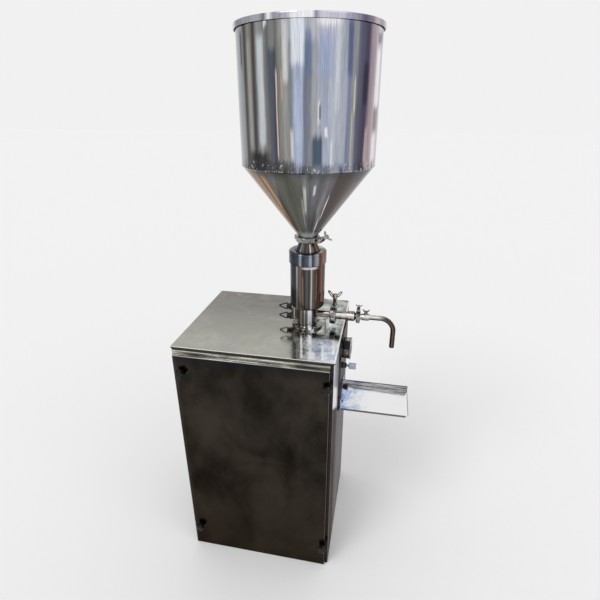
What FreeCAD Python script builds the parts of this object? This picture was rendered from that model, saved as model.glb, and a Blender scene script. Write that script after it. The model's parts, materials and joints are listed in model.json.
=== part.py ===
import FreeCAD, Part
import math
import operator
import os
from types import SimpleNamespace

import Sketcher

# A floor-standing piston filler for pastes: a sheet-metal cabinet with an air cylinder inside, a vertical
# pump barrel on its top plate with an open hopper clamped above it, an outlet line with a ball valve and a
# swivelling spout to the right, and a control plate with a sliding container tray on the right wall.
# +X is to the right of the cabinet's front, +Y to its rear, +Z up. The origin is on the floor under the
# middle of the cabinet. All sizes are in millimetres.

SIZES = (
    ("cabinet_width", 500, "left to right, over the top plate"),
    ("cabinet_depth", 440, "front to rear, over the top plate"),
    ("cabinet_height", 843, "floor to the face of the top plate"),
    ("top_sheet", 2, "thickness of the top plate"),
    ("top_lip", 6, "height of the top plate's folded edge"),
    ("panel_sheet", 1.5, "thickness of the wall panels"),
    ("panel_lift", 2, "wall panels above the floor"),
    ("angle_wall", 3, "thickness of the frame angles"),
    ("post_leg", 36, "leg of the corner posts"),
    ("rail_leg", 18, "leg of the top and bottom rails"),
    ("support_width", 150, "width of the plate under the tower"),
    ("support_thick", 10, "thickness of the plate under the tower"),
    ("door_left", 6, "left edge of the front panel from the cabinet's left edge"),
    ("door_right", 13, "right edge of the front panel from the cabinet's right edge"),
    ("door_foot", 2, "front panel above the floor"),
    ("door_head", 25, "front panel below the top plate's face"),
    ("door_depth", 10, "depth of the front panel's folded edge"),
    ("door_sheet", 1.5, "thickness of the front panel"),
    ("door_seat", 0.3, "front panel in front of the frame"),
    ("knob_left", 23, "left knobs from the front panel's left edge"),
    ("knob_right", 9, "right knobs from the front panel's right edge"),
    ("knob_low", 95, "lower knobs above the floor"),
    ("knob_high", 82, "upper knobs below the top plate"),
    ("knob_radius", 11.5, "core of a knob's head"),
    ("knob_lobe", 5.5, "radius of a knob's lobes"),
    ("knob_head", 13, "thickness of a knob's head"),
    ("knob_neck", 7, "length of a knob's neck"),
    ("knob_stud", 4, "radius of a knob's stud"),
    ("tower_offset", 130, "tower axis to the right of the middle"),
    ("flange_radius", 50, "foot flange of the column"),
    ("flange_thick", 6, "thickness of the foot flange"),
    ("bolt_circle", 42, "radius of the foot bolts' circle"),
    ("bolt_radius", 4, "foot bolts"),
    ("column_radius", 33, "outside of the column"),
    ("column_bore", 26, "inside of the column"),
    ("column_length", 73, "top plate to the foot of the barrel"),
    ("outlet_rise", 45, "outlet axis above the top plate"),
    ("barrel_radius", 54.5, "outside of the barrel"),
    ("barrel_bore", 50, "inside of the barrel"),
    ("barrel_length", 172, "length of the barrel"),
    ("barrel_floor", 8, "thickness of the barrel's floor"),
    ("collar_radius", 58, "outside of the union nut"),
    ("collar_hole", 39.5, "hole of the union nut, round the neck"),
    ("neck_base", 38.5, "foot of the neck's cone"),
    ("collar_length", 39, "length of the union nut"),
    ("collar_lip", 6, "thickness of the union nut's lip"),
    ("gasket_thick", 2, "ring between barrel and neck"),
    ("neck_flange", 6, "thickness of the neck's flange"),
    ("neck_length", 47, "barrel gasket to the middle of the hopper clamp"),
    ("hopper_radius", 186.4, "outside of the hopper"),
    ("hopper_wall", 1.5, "sheet of the hopper"),
    ("hopper_straight", 334.4, "height of the hopper's straight wall"),
    ("cone_height", 207.2, "height of the hopper's cone"),
    ("rim_proud", 5.8, "rim band outside the hopper's wall"),
    ("rim_band", 13, "height of the rim band"),
    ("pipe_radius", 11, "outside of the outlet pipe"),
    ("pipe_bore", 8, "inside of the outlet pipe"),
    ("valve_reach", 85, "outlet clamp from the tower axis"),
    ("valve_seam", 43, "shoulder of the valve's inlet body from the outlet clamp"),
    ("valve_seat", 53, "ball seat from the outlet clamp"),
    ("valve_room", 71, "far end of the ball's room from the outlet clamp"),
    ("spout_reach", 165, "spout clamp from the tower axis"),
    ("socket_end", 200, "end of the spout's socket from the tower axis"),
    ("spout_radius", 8, "outside of the spout"),
    ("spout_bore", 6.5, "inside of the spout"),
    ("spout_bend", 43, "radius of the spout's bend, at its middle line"),
    ("spout_end", 278, "spout's drop leg from the tower axis"),
    ("spout_drop", 100, "tip of the spout below the outlet axis"),
    ("running_fit", 0.05, "clearance round a moving shaft"),
    ("ball_radius", 7.5, "ball of the outlet valve"),
    ("piston_length", 28, "thickness of the pump piston"),
    ("piston_rest", 2, "pump piston above the barrel's floor at rest"),
    ("stroke", 110, "travel of the pump piston"),
    ("rod_radius", 8, "pump rod"),
    ("coupling_room", 8, "rod coupling below the support plate at the top of the stroke"),
    ("coupling_length", 40, "length of the rod coupling"),
    ("cylinder_room", 2, "rod coupling above the air cylinder at rest"),
    ("cap_side", 100, "air cylinder caps, square"),
    ("cap_thick", 28, "thickness of the air cylinder caps"),
    ("cylinder_radius", 42, "outside of the air cylinder's tube"),
    ("cylinder_bore", 40, "inside of the air cylinder's tube"),
    ("cylinder_length", 140, "length of the air cylinder's tube"),
    ("air_piston", 20, "thickness of the air piston"),
    ("tie_offset", 42, "tie rods from the cylinder's axis, each way"),
    ("tie_radius", 5, "tie rods"),
    ("plate_half", 85, "half width of the control plate"),
    ("plate_drop", 8, "control plate below the top plate's face"),
    ("plate_length", 261, "height of the control plate"),
    ("plate_proud", 7, "control plate outside the wall"),
    ("gauge_drop", 74, "middle of the pressure gauge below the top plate's face"),
    ("gauge_radius", 35, "case of the pressure gauge"),
    ("gauge_depth", 24, "depth of the pressure gauge"),
    ("regulator_drop", 38, "middle of the pressure regulator below the top plate's face"),
    ("regulator_side", 45, "regulator in front of the tower's plane"),
    ("button_drop", 117, "middle of the push button below the top plate's face"),
    ("button_side", 40, "push button in front of the tower's plane"),
    ("button_travel", 6, "travel of the push button"),
    ("tray_drop", 267, "face of the tray below the top plate's face"),
    ("tray_sheet", 2, "sheet of the tray"),
    ("tray_length", 225, "length of the tray"),
    ("tray_half", 73, "half width of the tray"),
    ("tray_wall", 18, "height of the tray's rear wall"),
    ("tray_tab", 62, "height of the tray's clamping tab"),
    ("tray_tab_half", 34, "half width of the clamping tab"),
    ("tray_knob_rise", 38, "clamping knob above the tray"),
    ("tray_down", 20, "tray travel down"),
    ("tray_up", 40, "tray travel up"),
    ("pad_width", 30, "clean-out pad, front to rear"),
    ("pad_height", 52, "clean-out pad, bottom to top"),
    ("cover_thick", 8, "thickness of the clean-out cover"),
    ("stud_proud", 12, "studs outside the clean-out cover"),
    ("stud_pitch", 34, "distance of the side cover's studs"),
    ("stud_radius", 3, "studs of the side cover"),
    ("seat_gap", 0.2, "pieces that turn or slide stand off by this"),
)

DOC = FreeCAD.newDocument("PasteFiller")
SHEET = DOC.addObject("Spreadsheet::Sheet", "Sizes")
OPERATORS = {"+": operator.add, "-": operator.sub, "*": operator.mul, "/": operator.truediv}
KEPT = []


class Size:
    """A length worked out from the sheet: its rule as an expression, and its value as the sheet stands."""

    def __init__(self, rule, now):
        self.rule = rule
        self.now = now

    def __float__(self):
        return self.now

    def __add__(self, other):
        return combined("+", self, other)

    def __radd__(self, other):
        return combined("+", other, self)

    def __sub__(self, other):
        return combined("-", self, other)

    def __rsub__(self, other):
        return combined("-", other, self)

    def __mul__(self, other):
        return combined("*", self, other)

    def __rmul__(self, other):
        return combined("*", other, self)

    def __truediv__(self, other):
        return combined("/", self, other)

    def __neg__(self):
        return combined("*", -1, self)


def tied(number):
    """A plain number as a Size, and a Size as it is."""
    if isinstance(number, Size):
        return number
    return Size(f"({float(number)!r})", float(number))


def combined(sign, left, right):
    left = tied(left)
    right = tied(right)
    return Size(f"({left.rule} {sign} {right.rule})", OPERATORS[sign](left.now, right.now))


def written_sizes():
    """Writes the driving dimensions into the sheet and hands them back by name."""
    for row, (alias, number, meaning) in enumerate(SIZES, start=1):
        SHEET.set(f"A{row}", alias)
        SHEET.set(f"B{row}", str(number))
        SHEET.setAlias(f"B{row}", alias)
        SHEET.set(f"C{row}", meaning)
    DOC.recompute()
    named = {alias: Size(f"Sizes.{alias}", float(getattr(SHEET, alias))) for alias, _, _ in SIZES}
    return SimpleNamespace(**named)


S = written_sizes()

# Turns of a piece's own +Z
UP = FreeCAD.Rotation()
RIGHT = FreeCAD.Rotation(FreeCAD.Vector(0, 1, 0), 90)
LEFT = FreeCAD.Rotation(FreeCAD.Vector(0, 1, 0), -90)
REARWARD = FreeCAD.Rotation(FreeCAD.Vector(1, 0, 0), -90)
FORWARD = FreeCAD.Rotation(FreeCAD.Vector(1, 0, 0), 90)

# Places that several pieces share
SIDE_FACE = S.cabinet_width / 2 - S.top_sheet
FRONT_FACE = -(S.cabinet_depth / 2 - S.top_sheet)
REAR_FACE = S.cabinet_depth / 2 - S.top_sheet
FRAME_SIDE = SIDE_FACE - S.panel_sheet
FRAME_REAR = REAR_FACE - S.panel_sheet
FRAME_TOP = S.cabinet_height - S.top_sheet
DOOR_LEFT = S.door_left - S.cabinet_width / 2
DOOR_RIGHT = S.cabinet_width / 2 - S.door_right
DOOR_BACK = FRONT_FACE - S.door_seat
DOOR_FRONT = DOOR_BACK - S.door_depth
OUTLET_HEIGHT = S.cabinet_height + S.outlet_rise
BARREL_FOOT = S.cabinet_height + S.column_length
BARREL_TOP = BARREL_FOOT + S.barrel_length
NECK_FOOT = BARREL_TOP + S.gasket_thick
HOPPER_JOINT = NECK_FOOT + S.neck_length
SUPPORT_TOP = FRAME_TOP - S.angle_wall
SUPPORT_FOOT = SUPPORT_TOP - S.support_thick
PLATE_FACE = SIDE_FACE + S.plate_proud
PLATE_HIGH = S.cabinet_height - S.plate_drop
PLATE_LOW = PLATE_HIGH - S.plate_length
GAUGE_HEIGHT = S.cabinet_height - S.gauge_drop
REGULATOR_HEIGHT = S.cabinet_height - S.regulator_drop
BUTTON_HEIGHT = S.cabinet_height - S.button_drop
TRAY_HEIGHT = S.cabinet_height - S.tray_drop
PISTON_FOOT = BARREL_FOOT + S.barrel_floor + S.piston_rest
PISTON_RADIUS = S.barrel_bore - S.running_fit
COUPLING_TOP = SUPPORT_FOOT - S.stroke - S.coupling_room
COUPLING_FOOT = COUPLING_TOP - S.coupling_length
CYLINDER_TOP = COUPLING_FOOT - S.cylinder_room
TUBE_TOP = CYLINDER_TOP - S.cap_thick
TUBE_FOOT = TUBE_TOP - S.cylinder_length
CYLINDER_FOOT = TUBE_FOOT - S.cap_thick


def tie(item, name, size):
    """Binds one property of an item to the sheet."""
    item.setExpression(name, tied(size).rule)


def put(item, at, turn=UP):
    """Turns an item and ties its place to the sheet."""
    item.Placement = FreeCAD.Placement(FreeCAD.Vector(), turn)
    for letter, size in zip("xyz", at):
        tie(item, "Placement.Base." + letter, size)
    return item


def kept(item):
    """Marks an item as a finished piece; its label names its file."""
    item.Label = item.Name
    KEPT.append(item)
    return item


def block(name, low, high):
    """A box between two corners."""
    item = DOC.addObject("Part::Box", name)
    for side, start, end in zip(("Length", "Width", "Height"), low, high):
        tie(item, side, tied(end) - start)
    return put(item, low)


def bar(name, radius, length, at, turn=UP):
    """A round bar that starts at a point."""
    item = DOC.addObject("Part::Cylinder", name)
    tie(item, "Radius", radius)
    tie(item, "Height", length)
    return put(item, at, turn)


def hexagon(name, radius, length, at, turn=UP):
    """A hexagon bar that starts at a point; the radius reaches its corners."""
    item = DOC.addObject("Part::Prism", name)
    item.Polygon = 6
    tie(item, "Circumradius", radius)
    tie(item, "Height", length)
    return put(item, at, turn)


def fused(name, items):
    item = DOC.addObject("Part::MultiFuse", name)
    item.Shapes = items
    return item


def without(name, base, tools):
    """The base less every tool."""
    item = DOC.addObject("Part::Cut", name)
    item.Base = base
    item.Tool = tools[0] if len(tools) == 1 else fused(name + "_cuts", tools)
    return item


def shared(name, first, second):
    item = DOC.addObject("Part::Common", name)
    item.Base = first
    item.Tool = second
    return item


def group(name, items):
    """Separate solids kept together as one piece of the list."""
    item = DOC.addObject("Part::Compound", name)
    item.Links = items
    return item


def drawn(body, role, outlines):
    """A sketch of closed outlines of straight lines, every corner tied to the sheet."""
    sketch = body.newObject("Sketcher::SketchObject", body.Name + "_sketch")
    plane = next(feature for feature in body.Origin.OriginFeatures if feature.Role == role)
    sketch.AttachmentSupport = (plane, [""])
    sketch.MapMode = "FlatFace"
    first = 0
    for outline in outlines:
        corners = [FreeCAD.Vector(float(across), float(along), 0) for across, along in outline]
        ends = corners[1:] + corners[:1]
        sketch.addGeometry([Part.LineSegment(start, end) for start, end in zip(corners, ends)], False)
        count = len(corners)
        joints = [
            Sketcher.Constraint("Coincident", first + line, 2, first + (line + 1) % count, 1)
            for line in range(count)
        ]
        sketch.addConstraint(joints)
        for line, corner in enumerate(outline, start=first):
            pin(sketch, line, corner)
        first += count
    return sketch


def pin(sketch, line, corner):
    """Holds the start of a line at a corner: on an axis where the distance is nothing, else by a length."""
    for kind, axis, size in (("DistanceX", -2, corner[0]), ("DistanceY", -1, corner[1])):
        if float(size) == 0:
            sketch.addConstraint(Sketcher.Constraint("PointOnObject", line, 1, axis))
        else:
            index = sketch.addConstraint(Sketcher.Constraint(kind, -1, 1, line, 1, float(size)))
            sketch.setExpression(f"Constraints[{index}]", tied(size).rule)


def turned(name, outline, at, turn=UP):
    """A body of revolution round its own Z axis, from corners given as (radius, height)."""
    body = DOC.addObject("PartDesign::Body", name)
    sketch = drawn(body, "XZ_Plane", [outline])
    spin = body.newObject("PartDesign::Revolution", name + "_spin")
    spin.Profile = sketch
    spin.ReferenceAxis = (sketch, ["V_Axis"])
    spin.Angle = 360
    return put(body, at, turn)


def pressed(name, outlines, thickness, at, turn=UP):
    """A plate with the given outlines, an inner one being a hole, from its own XY plane upwards."""
    body = DOC.addObject("PartDesign::Body", name)
    sketch = drawn(body, "XY_Plane", outlines)
    pad = body.newObject("PartDesign::Pad", name + "_pad")
    pad.Profile = sketch
    tie(pad, "Length", thickness)
    return put(body, at, turn)


def tower(x, y, z):
    """A place given from the tower's axis across the cabinet, and from the floor."""
    return (S.tower_offset + x, y, z)


def ring(name, outer, inner, length, at, turn=UP):
    """A plain tube or washer."""
    return turned(name, [(inner, 0), (outer, 0), (outer, length), (inner, length)], at, turn)


def corners_of(reach):
    """The four places at the same reach along both axes."""
    return [(reach * x_sign, reach * y_sign) for x_sign in (-1, 1) for y_sign in (-1, 1)]


# Cabinet


def knob_places():
    """Names and places of the front panel's four knobs."""
    columns = (("left", DOOR_LEFT + S.knob_left), ("right", DOOR_RIGHT - S.knob_right))
    rows = (("lower", tied(S.knob_low)), ("upper", S.cabinet_height - S.knob_high))
    return [(f"{row}_{column}", x, z) for row, z in rows for column, x in columns]


def cabinet_frame():
    """An angle-iron cage: a shell with a wide window in each face, and holes for the knobs' studs."""
    outer = block("frame_outer", (-FRAME_SIDE, FRONT_FACE, 0), (FRAME_SIDE, FRAME_REAR, FRAME_TOP))
    wall = S.angle_wall
    inner = block(
        "frame_inner",
        (wall - FRAME_SIDE, FRONT_FACE + wall, wall),
        (FRAME_SIDE - wall, FRAME_REAR - wall, FRAME_TOP - wall),
    )
    window_x = FRAME_SIDE - S.post_leg
    window_front = FRONT_FACE + S.post_leg
    window_rear = FRAME_REAR - S.post_leg
    across = block(
        "frame_side_window",
        (-S.cabinet_width, window_front, S.rail_leg),
        (S.cabinet_width, window_rear, FRAME_TOP - S.rail_leg),
    )
    along = block(
        "frame_front_window",
        (-window_x, -S.cabinet_depth, S.rail_leg),
        (window_x, S.cabinet_depth, FRAME_TOP - S.rail_leg),
    )
    upright = block(
        "frame_top_window",
        (-window_x, window_front, -S.angle_wall),
        (window_x, window_rear, S.cabinet_height),
    )
    stud_holes = [
        bar(f"frame_hole_{name}", S.knob_stud + 0.3, 3 * wall, (x, FRONT_FACE - wall, z), REARWARD)
        for name, x, z in knob_places()
    ]
    kept(without("cabinet_frame", outer, [inner, across, along, upright] + stud_holes))


def cabinet_skin():
    """Top plate, wall panels and floor panel."""
    half_x = S.cabinet_width / 2
    half_y = S.cabinet_depth / 2
    lip_foot = S.cabinet_height - S.top_lip
    pan = block("top_outer", (-half_x, -half_y, lip_foot), (half_x, half_y, S.cabinet_height))
    room = block("top_room", (-SIDE_FACE, FRONT_FACE, lip_foot - 1), (SIDE_FACE, REAR_FACE, FRAME_TOP))
    holes = [bar("top_rod_hole", S.rod_radius * 2, 8 * S.top_sheet, tower(0, 0, lip_foot))]
    for number, (x, y) in enumerate(foot_bolt_places(), start=1):
        place = tower(x, y, lip_foot)
        holes.append(bar(f"top_bolt_hole_{number}", S.bolt_radius + 0.3, 8 * S.top_sheet, place))
    kept(without("top_plate", pan, [room] + holes))
    kept(block("left_panel", (-SIDE_FACE, FRONT_FACE, S.panel_lift), (-FRAME_SIDE, REAR_FACE, lip_foot)))
    right = block("right_sheet", (FRAME_SIDE, FRONT_FACE, S.panel_lift), (SIDE_FACE, REAR_FACE, lip_foot))
    border = 17
    window = block(
        "right_window",
        (FRAME_SIDE - 1, border - S.plate_half, PLATE_LOW + border),
        (SIDE_FACE + 1, S.plate_half - border, PLATE_HIGH - border),
    )
    kept(without("right_panel", right, [window]))
    rear = block("rear_sheet", (-FRAME_SIDE, FRAME_REAR, S.panel_lift), (FRAME_SIDE, REAR_FACE, lip_foot))
    slots = []
    slot_half = S.cabinet_width * 0.12
    slot_high = 5
    for column in (-1, 1):
        middle = column * S.cabinet_width / 4
        for row in range(6):
            foot = S.cabinet_height * (0.72 + 0.021 * row)
            slots.append(
                block(
                    f"rear_slot_{column + 1}_{row}",
                    (middle - slot_half, FRAME_REAR - 1, foot),
                    (middle + slot_half, REAR_FACE + 1, foot + slot_high),
                )
            )
    inlet_hole = bar("rear_inlet_hole", 9, 4 * S.panel_sheet, air_inlet_place(-S.panel_sheet), REARWARD)
    kept(without("rear_panel", rear, slots + [inlet_hole]))
    wall = S.angle_wall
    kept(
        block(
            "floor_panel",
            (wall - FRAME_SIDE, FRONT_FACE + wall, wall),
            (FRAME_SIDE - wall, FRAME_REAR - wall, wall + S.panel_sheet),
        )
    )


def front_panel():
    """The lift-off front: a pan with folded edges and four stud holes."""
    outer = block("door_outer", (DOOR_LEFT, DOOR_FRONT, S.door_foot), (DOOR_RIGHT, DOOR_BACK, door_top()))
    sheet = S.door_sheet
    room = block(
        "door_room",
        (DOOR_LEFT + sheet, DOOR_FRONT + sheet, S.door_foot + sheet),
        (DOOR_RIGHT - sheet, DOOR_BACK + 1, door_top() - sheet),
    )
    holes = [
        bar(f"door_hole_{name}", S.knob_stud + S.running_fit, 3 * sheet, (x, DOOR_FRONT - sheet, z), REARWARD)
        for name, x, z in knob_places()
    ]
    kept(without("front_panel", outer, [room] + holes))


def door_top():
    return S.cabinet_height - S.door_head


def front_knobs():
    """Four lobed screws whose studs reach through the front panel into the frame."""
    lobes = 5
    for name, x, z in knob_places():
        base = DOOR_FRONT - S.seat_gap
        neck = bar(f"knob_neck_{name}", S.knob_radius * 0.7, S.knob_neck + 1, (x, base, z), FORWARD)
        head_place = (x, base - S.knob_neck, z)
        parts = [neck, bar(f"knob_core_{name}", S.knob_radius, S.knob_head, head_place, FORWARD)]
        for lobe in range(lobes):
            angle = 2 * math.pi * lobe / lobes
            place = (
                x + S.knob_radius * math.cos(angle),
                base - S.knob_neck,
                z + S.knob_radius * math.sin(angle),
            )
            parts.append(bar(f"knob_lobe_{name}_{lobe}", S.knob_lobe, S.knob_head, place, FORWARD))
        stud_length = S.door_depth + S.door_seat + S.angle_wall + 3 + S.seat_gap
        parts.append(bar(f"knob_stud_{name}", S.knob_stud, stud_length, (x, base - 0.5, z), REARWARD))
        kept(fused(f"front_knob_{name}", parts))


# Tower


def foot_bolt_places():
    return corners_of(S.bolt_circle * math.cos(math.radians(45)))


def support_plate():
    """The thick plate under the top sheet that carries the column and hangs the air cylinder."""
    half = S.support_width / 2
    plate = block(
        "support_blank",
        tower(-half, FRONT_FACE + S.angle_wall, SUPPORT_FOOT),
        tower(half, FRAME_REAR - S.angle_wall, SUPPORT_TOP),
    )
    holes = [bar("support_rod_hole", S.rod_radius * 2, 2 * S.support_thick, tower(0, 0, SUPPORT_FOOT - 1))]
    for number, (x, y) in enumerate(foot_bolt_places(), start=1):
        place = tower(x, y, SUPPORT_FOOT - 1)
        holes.append(bar(f"support_bolt_hole_{number}", S.bolt_radius + 0.3, 2 * S.support_thick, place))
    for number, (x, y) in enumerate(corners_of(S.tie_offset), start=1):
        place = tower(x, y, SUPPORT_FOOT - 1)
        holes.append(bar(f"support_tie_hole_{number}", S.tie_radius + 0.2, 2 * S.support_thick, place))
    kept(without("support_plate", plate, holes))


def ferrule(outer, tube):
    """Corners of a clamp ferrule's flange as (radius, distance from the joint face), from rim to tube."""
    return [(outer, 0.6), (outer, 3.4), (tube + 1.5, 5.6), (tube, 7.5)]


HOPPER_FERRULE = 32
HOPPER_TUBE = 25.4
THROAT = 22
OUTLET_FERRULE = 25.2
SPOUT_FERRULE = 14
SPOUT_TUBE = 9


def column():
    """Foot flange, tube with the outlet port on the right, and the clean-out pad on the left."""
    radius = S.column_radius
    bore = S.column_bore
    gland = S.rod_radius + 6
    web = S.rod_radius + 0.2
    outline = [
        (web, 0),
        (S.flange_radius, 0),
        (S.flange_radius, S.flange_thick),
        (radius + 1.5, S.flange_thick),
        (radius, S.flange_thick + 1.5),
        (radius, S.column_length),
        (bore, S.column_length),
        (bore, 14),
        (gland, 14),
        (gland, 4),
        (web, 4),
    ]
    body = turned("column_body", outline, tower(0, 0, S.cabinet_height))
    start = bore + 2
    reach = S.valve_reach - start
    flange = [(rim, reach - gap) for rim, gap in ferrule(OUTLET_FERRULE, S.pipe_radius)]
    port_outline = [(S.pipe_bore, 0), (S.pipe_bore, reach - 0.6)] + flange + [(S.pipe_radius, 0)]
    port = turned("column_port", port_outline, tower(start, 0, OUTLET_HEIGHT), RIGHT)
    pad = side_pad("column_pad", radius - 12, pad_face())
    stud_root = radius - 1
    stud_end = pad_face() + S.gasket_thick + S.cover_thick + S.stud_proud
    studs = [
        bar(f"column_stud_{number}", S.stud_radius, stud_end - stud_root, tower(-stud_root, 0, height), LEFT)
        for number, height in enumerate(stud_heights(), start=1)
    ]
    solid = fused("column_solid", [body, port, pad] + studs)
    bolt_holes = []
    for number, (x, y) in enumerate(foot_bolt_places(), start=1):
        place = tower(x, y, S.cabinet_height - 1)
        bolt_holes.append(bar(f"column_bolt_hole_{number}", S.bolt_radius + 0.3, 2 * S.flange_thick, place))
    port_bore = bar("column_port_bore", S.pipe_bore, radius, tower(bore - 6, 0, OUTLET_HEIGHT), RIGHT)
    pad_bore = bar("column_pad_bore", 9, radius, tower(-(bore - 6), 0, OUTLET_HEIGHT), LEFT)
    inside = bar("column_inside", bore, S.column_length - 14, tower(0, 0, S.cabinet_height + 14))
    kept(without("column", solid, bolt_holes + [port_bore, pad_bore, inside]))


def pad_face():
    """The face of the clean-out pad, from the tower's axis."""
    return S.column_radius + 7


def stud_heights():
    return (OUTLET_HEIGHT - S.stud_pitch / 2, OUTLET_HEIGHT + S.stud_pitch / 2)


def side_pad(name, near, far):
    """An upright plate with rounded ends on the column's left, between two distances from the axis."""
    half = S.pad_width / 2
    reach = S.pad_height / 2 - half
    middle = block(
        name + "_middle",
        tower(-far, -half, OUTLET_HEIGHT - reach),
        tower(-near, half, OUTLET_HEIGHT + reach),
    )
    ends = [
        bar(f"{name}_end_{number}", half, far - near, tower(-near, 0, OUTLET_HEIGHT + sign * reach), LEFT)
        for number, sign in enumerate((-1, 1), start=1)
    ]
    return fused(name, [middle] + ends)


def side_cover():
    """The clean-out cover on the column's left pad, with two looped thumb screws on its studs."""
    near = pad_face()
    plate = side_pad("cover_blank", near + S.gasket_thick, near + S.gasket_thick + S.cover_thick)
    holes = [
        bar(f"cover_hole_{number}", S.stud_radius + 0.3, 40, tower(-near, 0, height), LEFT)
        for number, height in enumerate(stud_heights(), start=1)
    ]
    kept(without("cleanout_cover", plate, holes))
    seat = near + S.gasket_thick + S.cover_thick + S.seat_gap
    for name, height in zip(("lower", "upper"), stud_heights()):
        kept(thumb_screw(f"thumb_screw_{name}", seat, height))


def thumb_screw(name, seat, height):
    """A female thumb screw: a stepped hub with a flat triangular loop for the fingers."""
    bore = S.stud_radius + S.running_fit
    hub_outline = [(bore, 0), (11.5, 0), (11.5, 8), (9.5, 10), (9.5, 16), (6, 18.5), (bore, 18.5)]
    hub = turned(f"{name}_hub", hub_outline, tower(-seat, 0, height), LEFT)
    loop = pressed(
        f"{name}_loop",
        [
            [(14, -9.5), (17, -12.5), (23, -11.5), (45, -1.8), (45, 1.8), (23, 11.5), (17, 12.5), (14, 9.5)],
            [(19.5, -8), (39.5, 0), (19.5, 8)],
        ],
        4,
        tower(-seat, 2, height),
        FreeCAD.Rotation(FreeCAD.Vector(-1, 0, 0), FreeCAD.Vector(0, 0, 1), FreeCAD.Vector(0, 1, 0), "ZXY"),
    )
    return fused(name, [hub, loop])


def column_bolts():
    """Foot bolts with their nuts under the support plate."""
    pieces = []
    for number, (x, y) in enumerate(foot_bolt_places(), start=1):
        seat = S.cabinet_height + S.flange_thick
        head = hexagon(f"foot_head_{number}", 7, 5, tower(x, y, seat))
        shank_foot = SUPPORT_FOOT - 9
        shank = bar(f"foot_shank_{number}", S.bolt_radius, seat - shank_foot + 1, tower(x, y, shank_foot))
        pieces.append(fused(f"foot_bolt_{number}", [head, shank]))
        nut = hexagon(f"foot_nut_blank_{number}", 7, 6, tower(x, y, SUPPORT_FOOT - 6))
        hole = bar(f"foot_nut_hole_{number}", S.bolt_radius, 8, tower(x, y, SUPPORT_FOOT - 7))
        pieces.append(without(f"foot_nut_{number}", nut, [hole]))
    kept(group("column_bolts", pieces))


def rod_seal():
    """The white lip seal round the rod in the column's foot."""
    seat = S.cabinet_height + 4
    kept(ring("rod_seal", S.rod_radius + 6, S.rod_radius + S.running_fit, 9, tower(0, 0, seat)))


def barrel():
    """The metering barrel, with a floor that seats on the column and a thread relief under the union nut."""
    radius = S.barrel_radius
    thread = radius - 2
    collar_foot = collar_top() - S.collar_length
    outline = [
        (S.column_bore, 0),
        (radius - 6, 0),
        (radius, 6),
        (radius, collar_foot - BARREL_FOOT - 2),
        (thread, collar_foot - BARREL_FOOT),
        (thread, S.barrel_length),
        (S.barrel_bore, S.barrel_length),
        (S.barrel_bore, S.barrel_floor),
        (S.column_bore, S.barrel_floor),
    ]
    kept(turned("barrel", outline, tower(0, 0, BARREL_FOOT)))


def collar_top():
    return NECK_FOOT + S.neck_flange + S.seat_gap + S.collar_lip


def collar_nut():
    """The union nut that pulls the neck's flange onto the barrel."""
    outer = S.collar_radius
    thread = S.barrel_radius - 2 + 0.3
    hole = S.collar_hole
    length = S.collar_length
    outline = [
        (thread, 0),
        (outer - 1.5, 0),
        (outer, 1.5),
        (outer, length - 3),
        (outer - 3, length),
        (hole, length),
        (hole, length - S.collar_lip),
        (thread, length - S.collar_lip),
    ]
    kept(turned("collar_nut", outline, tower(0, 0, collar_top() - length)))


def feed_neck():
    """Flange, cone and ferrule between barrel and hopper."""
    joint = S.neck_length
    flange = [(radius, joint - gap) for radius, gap in reversed(ferrule(HOPPER_FERRULE, HOPPER_TUBE))]
    foot = S.barrel_radius - 3
    outline = (
        [(THROAT, 0), (foot, 0), (foot, S.neck_flange), (S.neck_base, S.neck_flange)]
        + [(S.neck_base, S.neck_flange + S.collar_lip + 1), (HOPPER_TUBE + 3, joint - 15)]
        + flange
        + [(THROAT, joint - 0.6)]
    )
    kept(turned("feed_neck", outline, tower(0, 0, NECK_FOOT)))


def gaskets():
    """White sealing rings: barrel, hopper, outlet and spout joints, and the clean-out cover."""
    half = 0.6
    top = tower(0, 0, BARREL_TOP)
    barrel_ring = ring("ring_barrel", S.barrel_radius - 3, S.barrel_bore - 6, S.gasket_thick, top)
    hopper_place = tower(0, 0, HOPPER_JOINT - half)
    hopper_ring = ring("ring_hopper", HOPPER_FERRULE - 0.5, THROAT, 2 * half, hopper_place)
    outlet_place = tower(S.valve_reach - half, 0, OUTLET_HEIGHT)
    outlet_ring = ring("ring_outlet", OUTLET_FERRULE - 0.5, S.pipe_bore, 2 * half, outlet_place, RIGHT)
    spout_place = tower(S.spout_reach - half, 0, OUTLET_HEIGHT)
    spout_ring = ring("ring_spout", SPOUT_FERRULE - 0.5, S.spout_bore, 2 * half, spout_place, RIGHT)
    near = pad_face()
    cover_blank = side_pad("ring_cover_blank", near, near + S.gasket_thick)
    holes = [bar("ring_cover_bore", 9, 10, tower(-near + 1, 0, OUTLET_HEIGHT), LEFT)]
    for number, height in enumerate(stud_heights(), start=1):
        holes.append(bar(f"ring_cover_hole_{number}", S.stud_radius, 10, tower(-near + 1, 0, height), LEFT))
    cover_ring = without("ring_cover", cover_blank, holes)
    kept(group("gaskets", [barrel_ring, hopper_ring, outlet_ring, spout_ring, cover_ring]))


# Hopper


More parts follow.
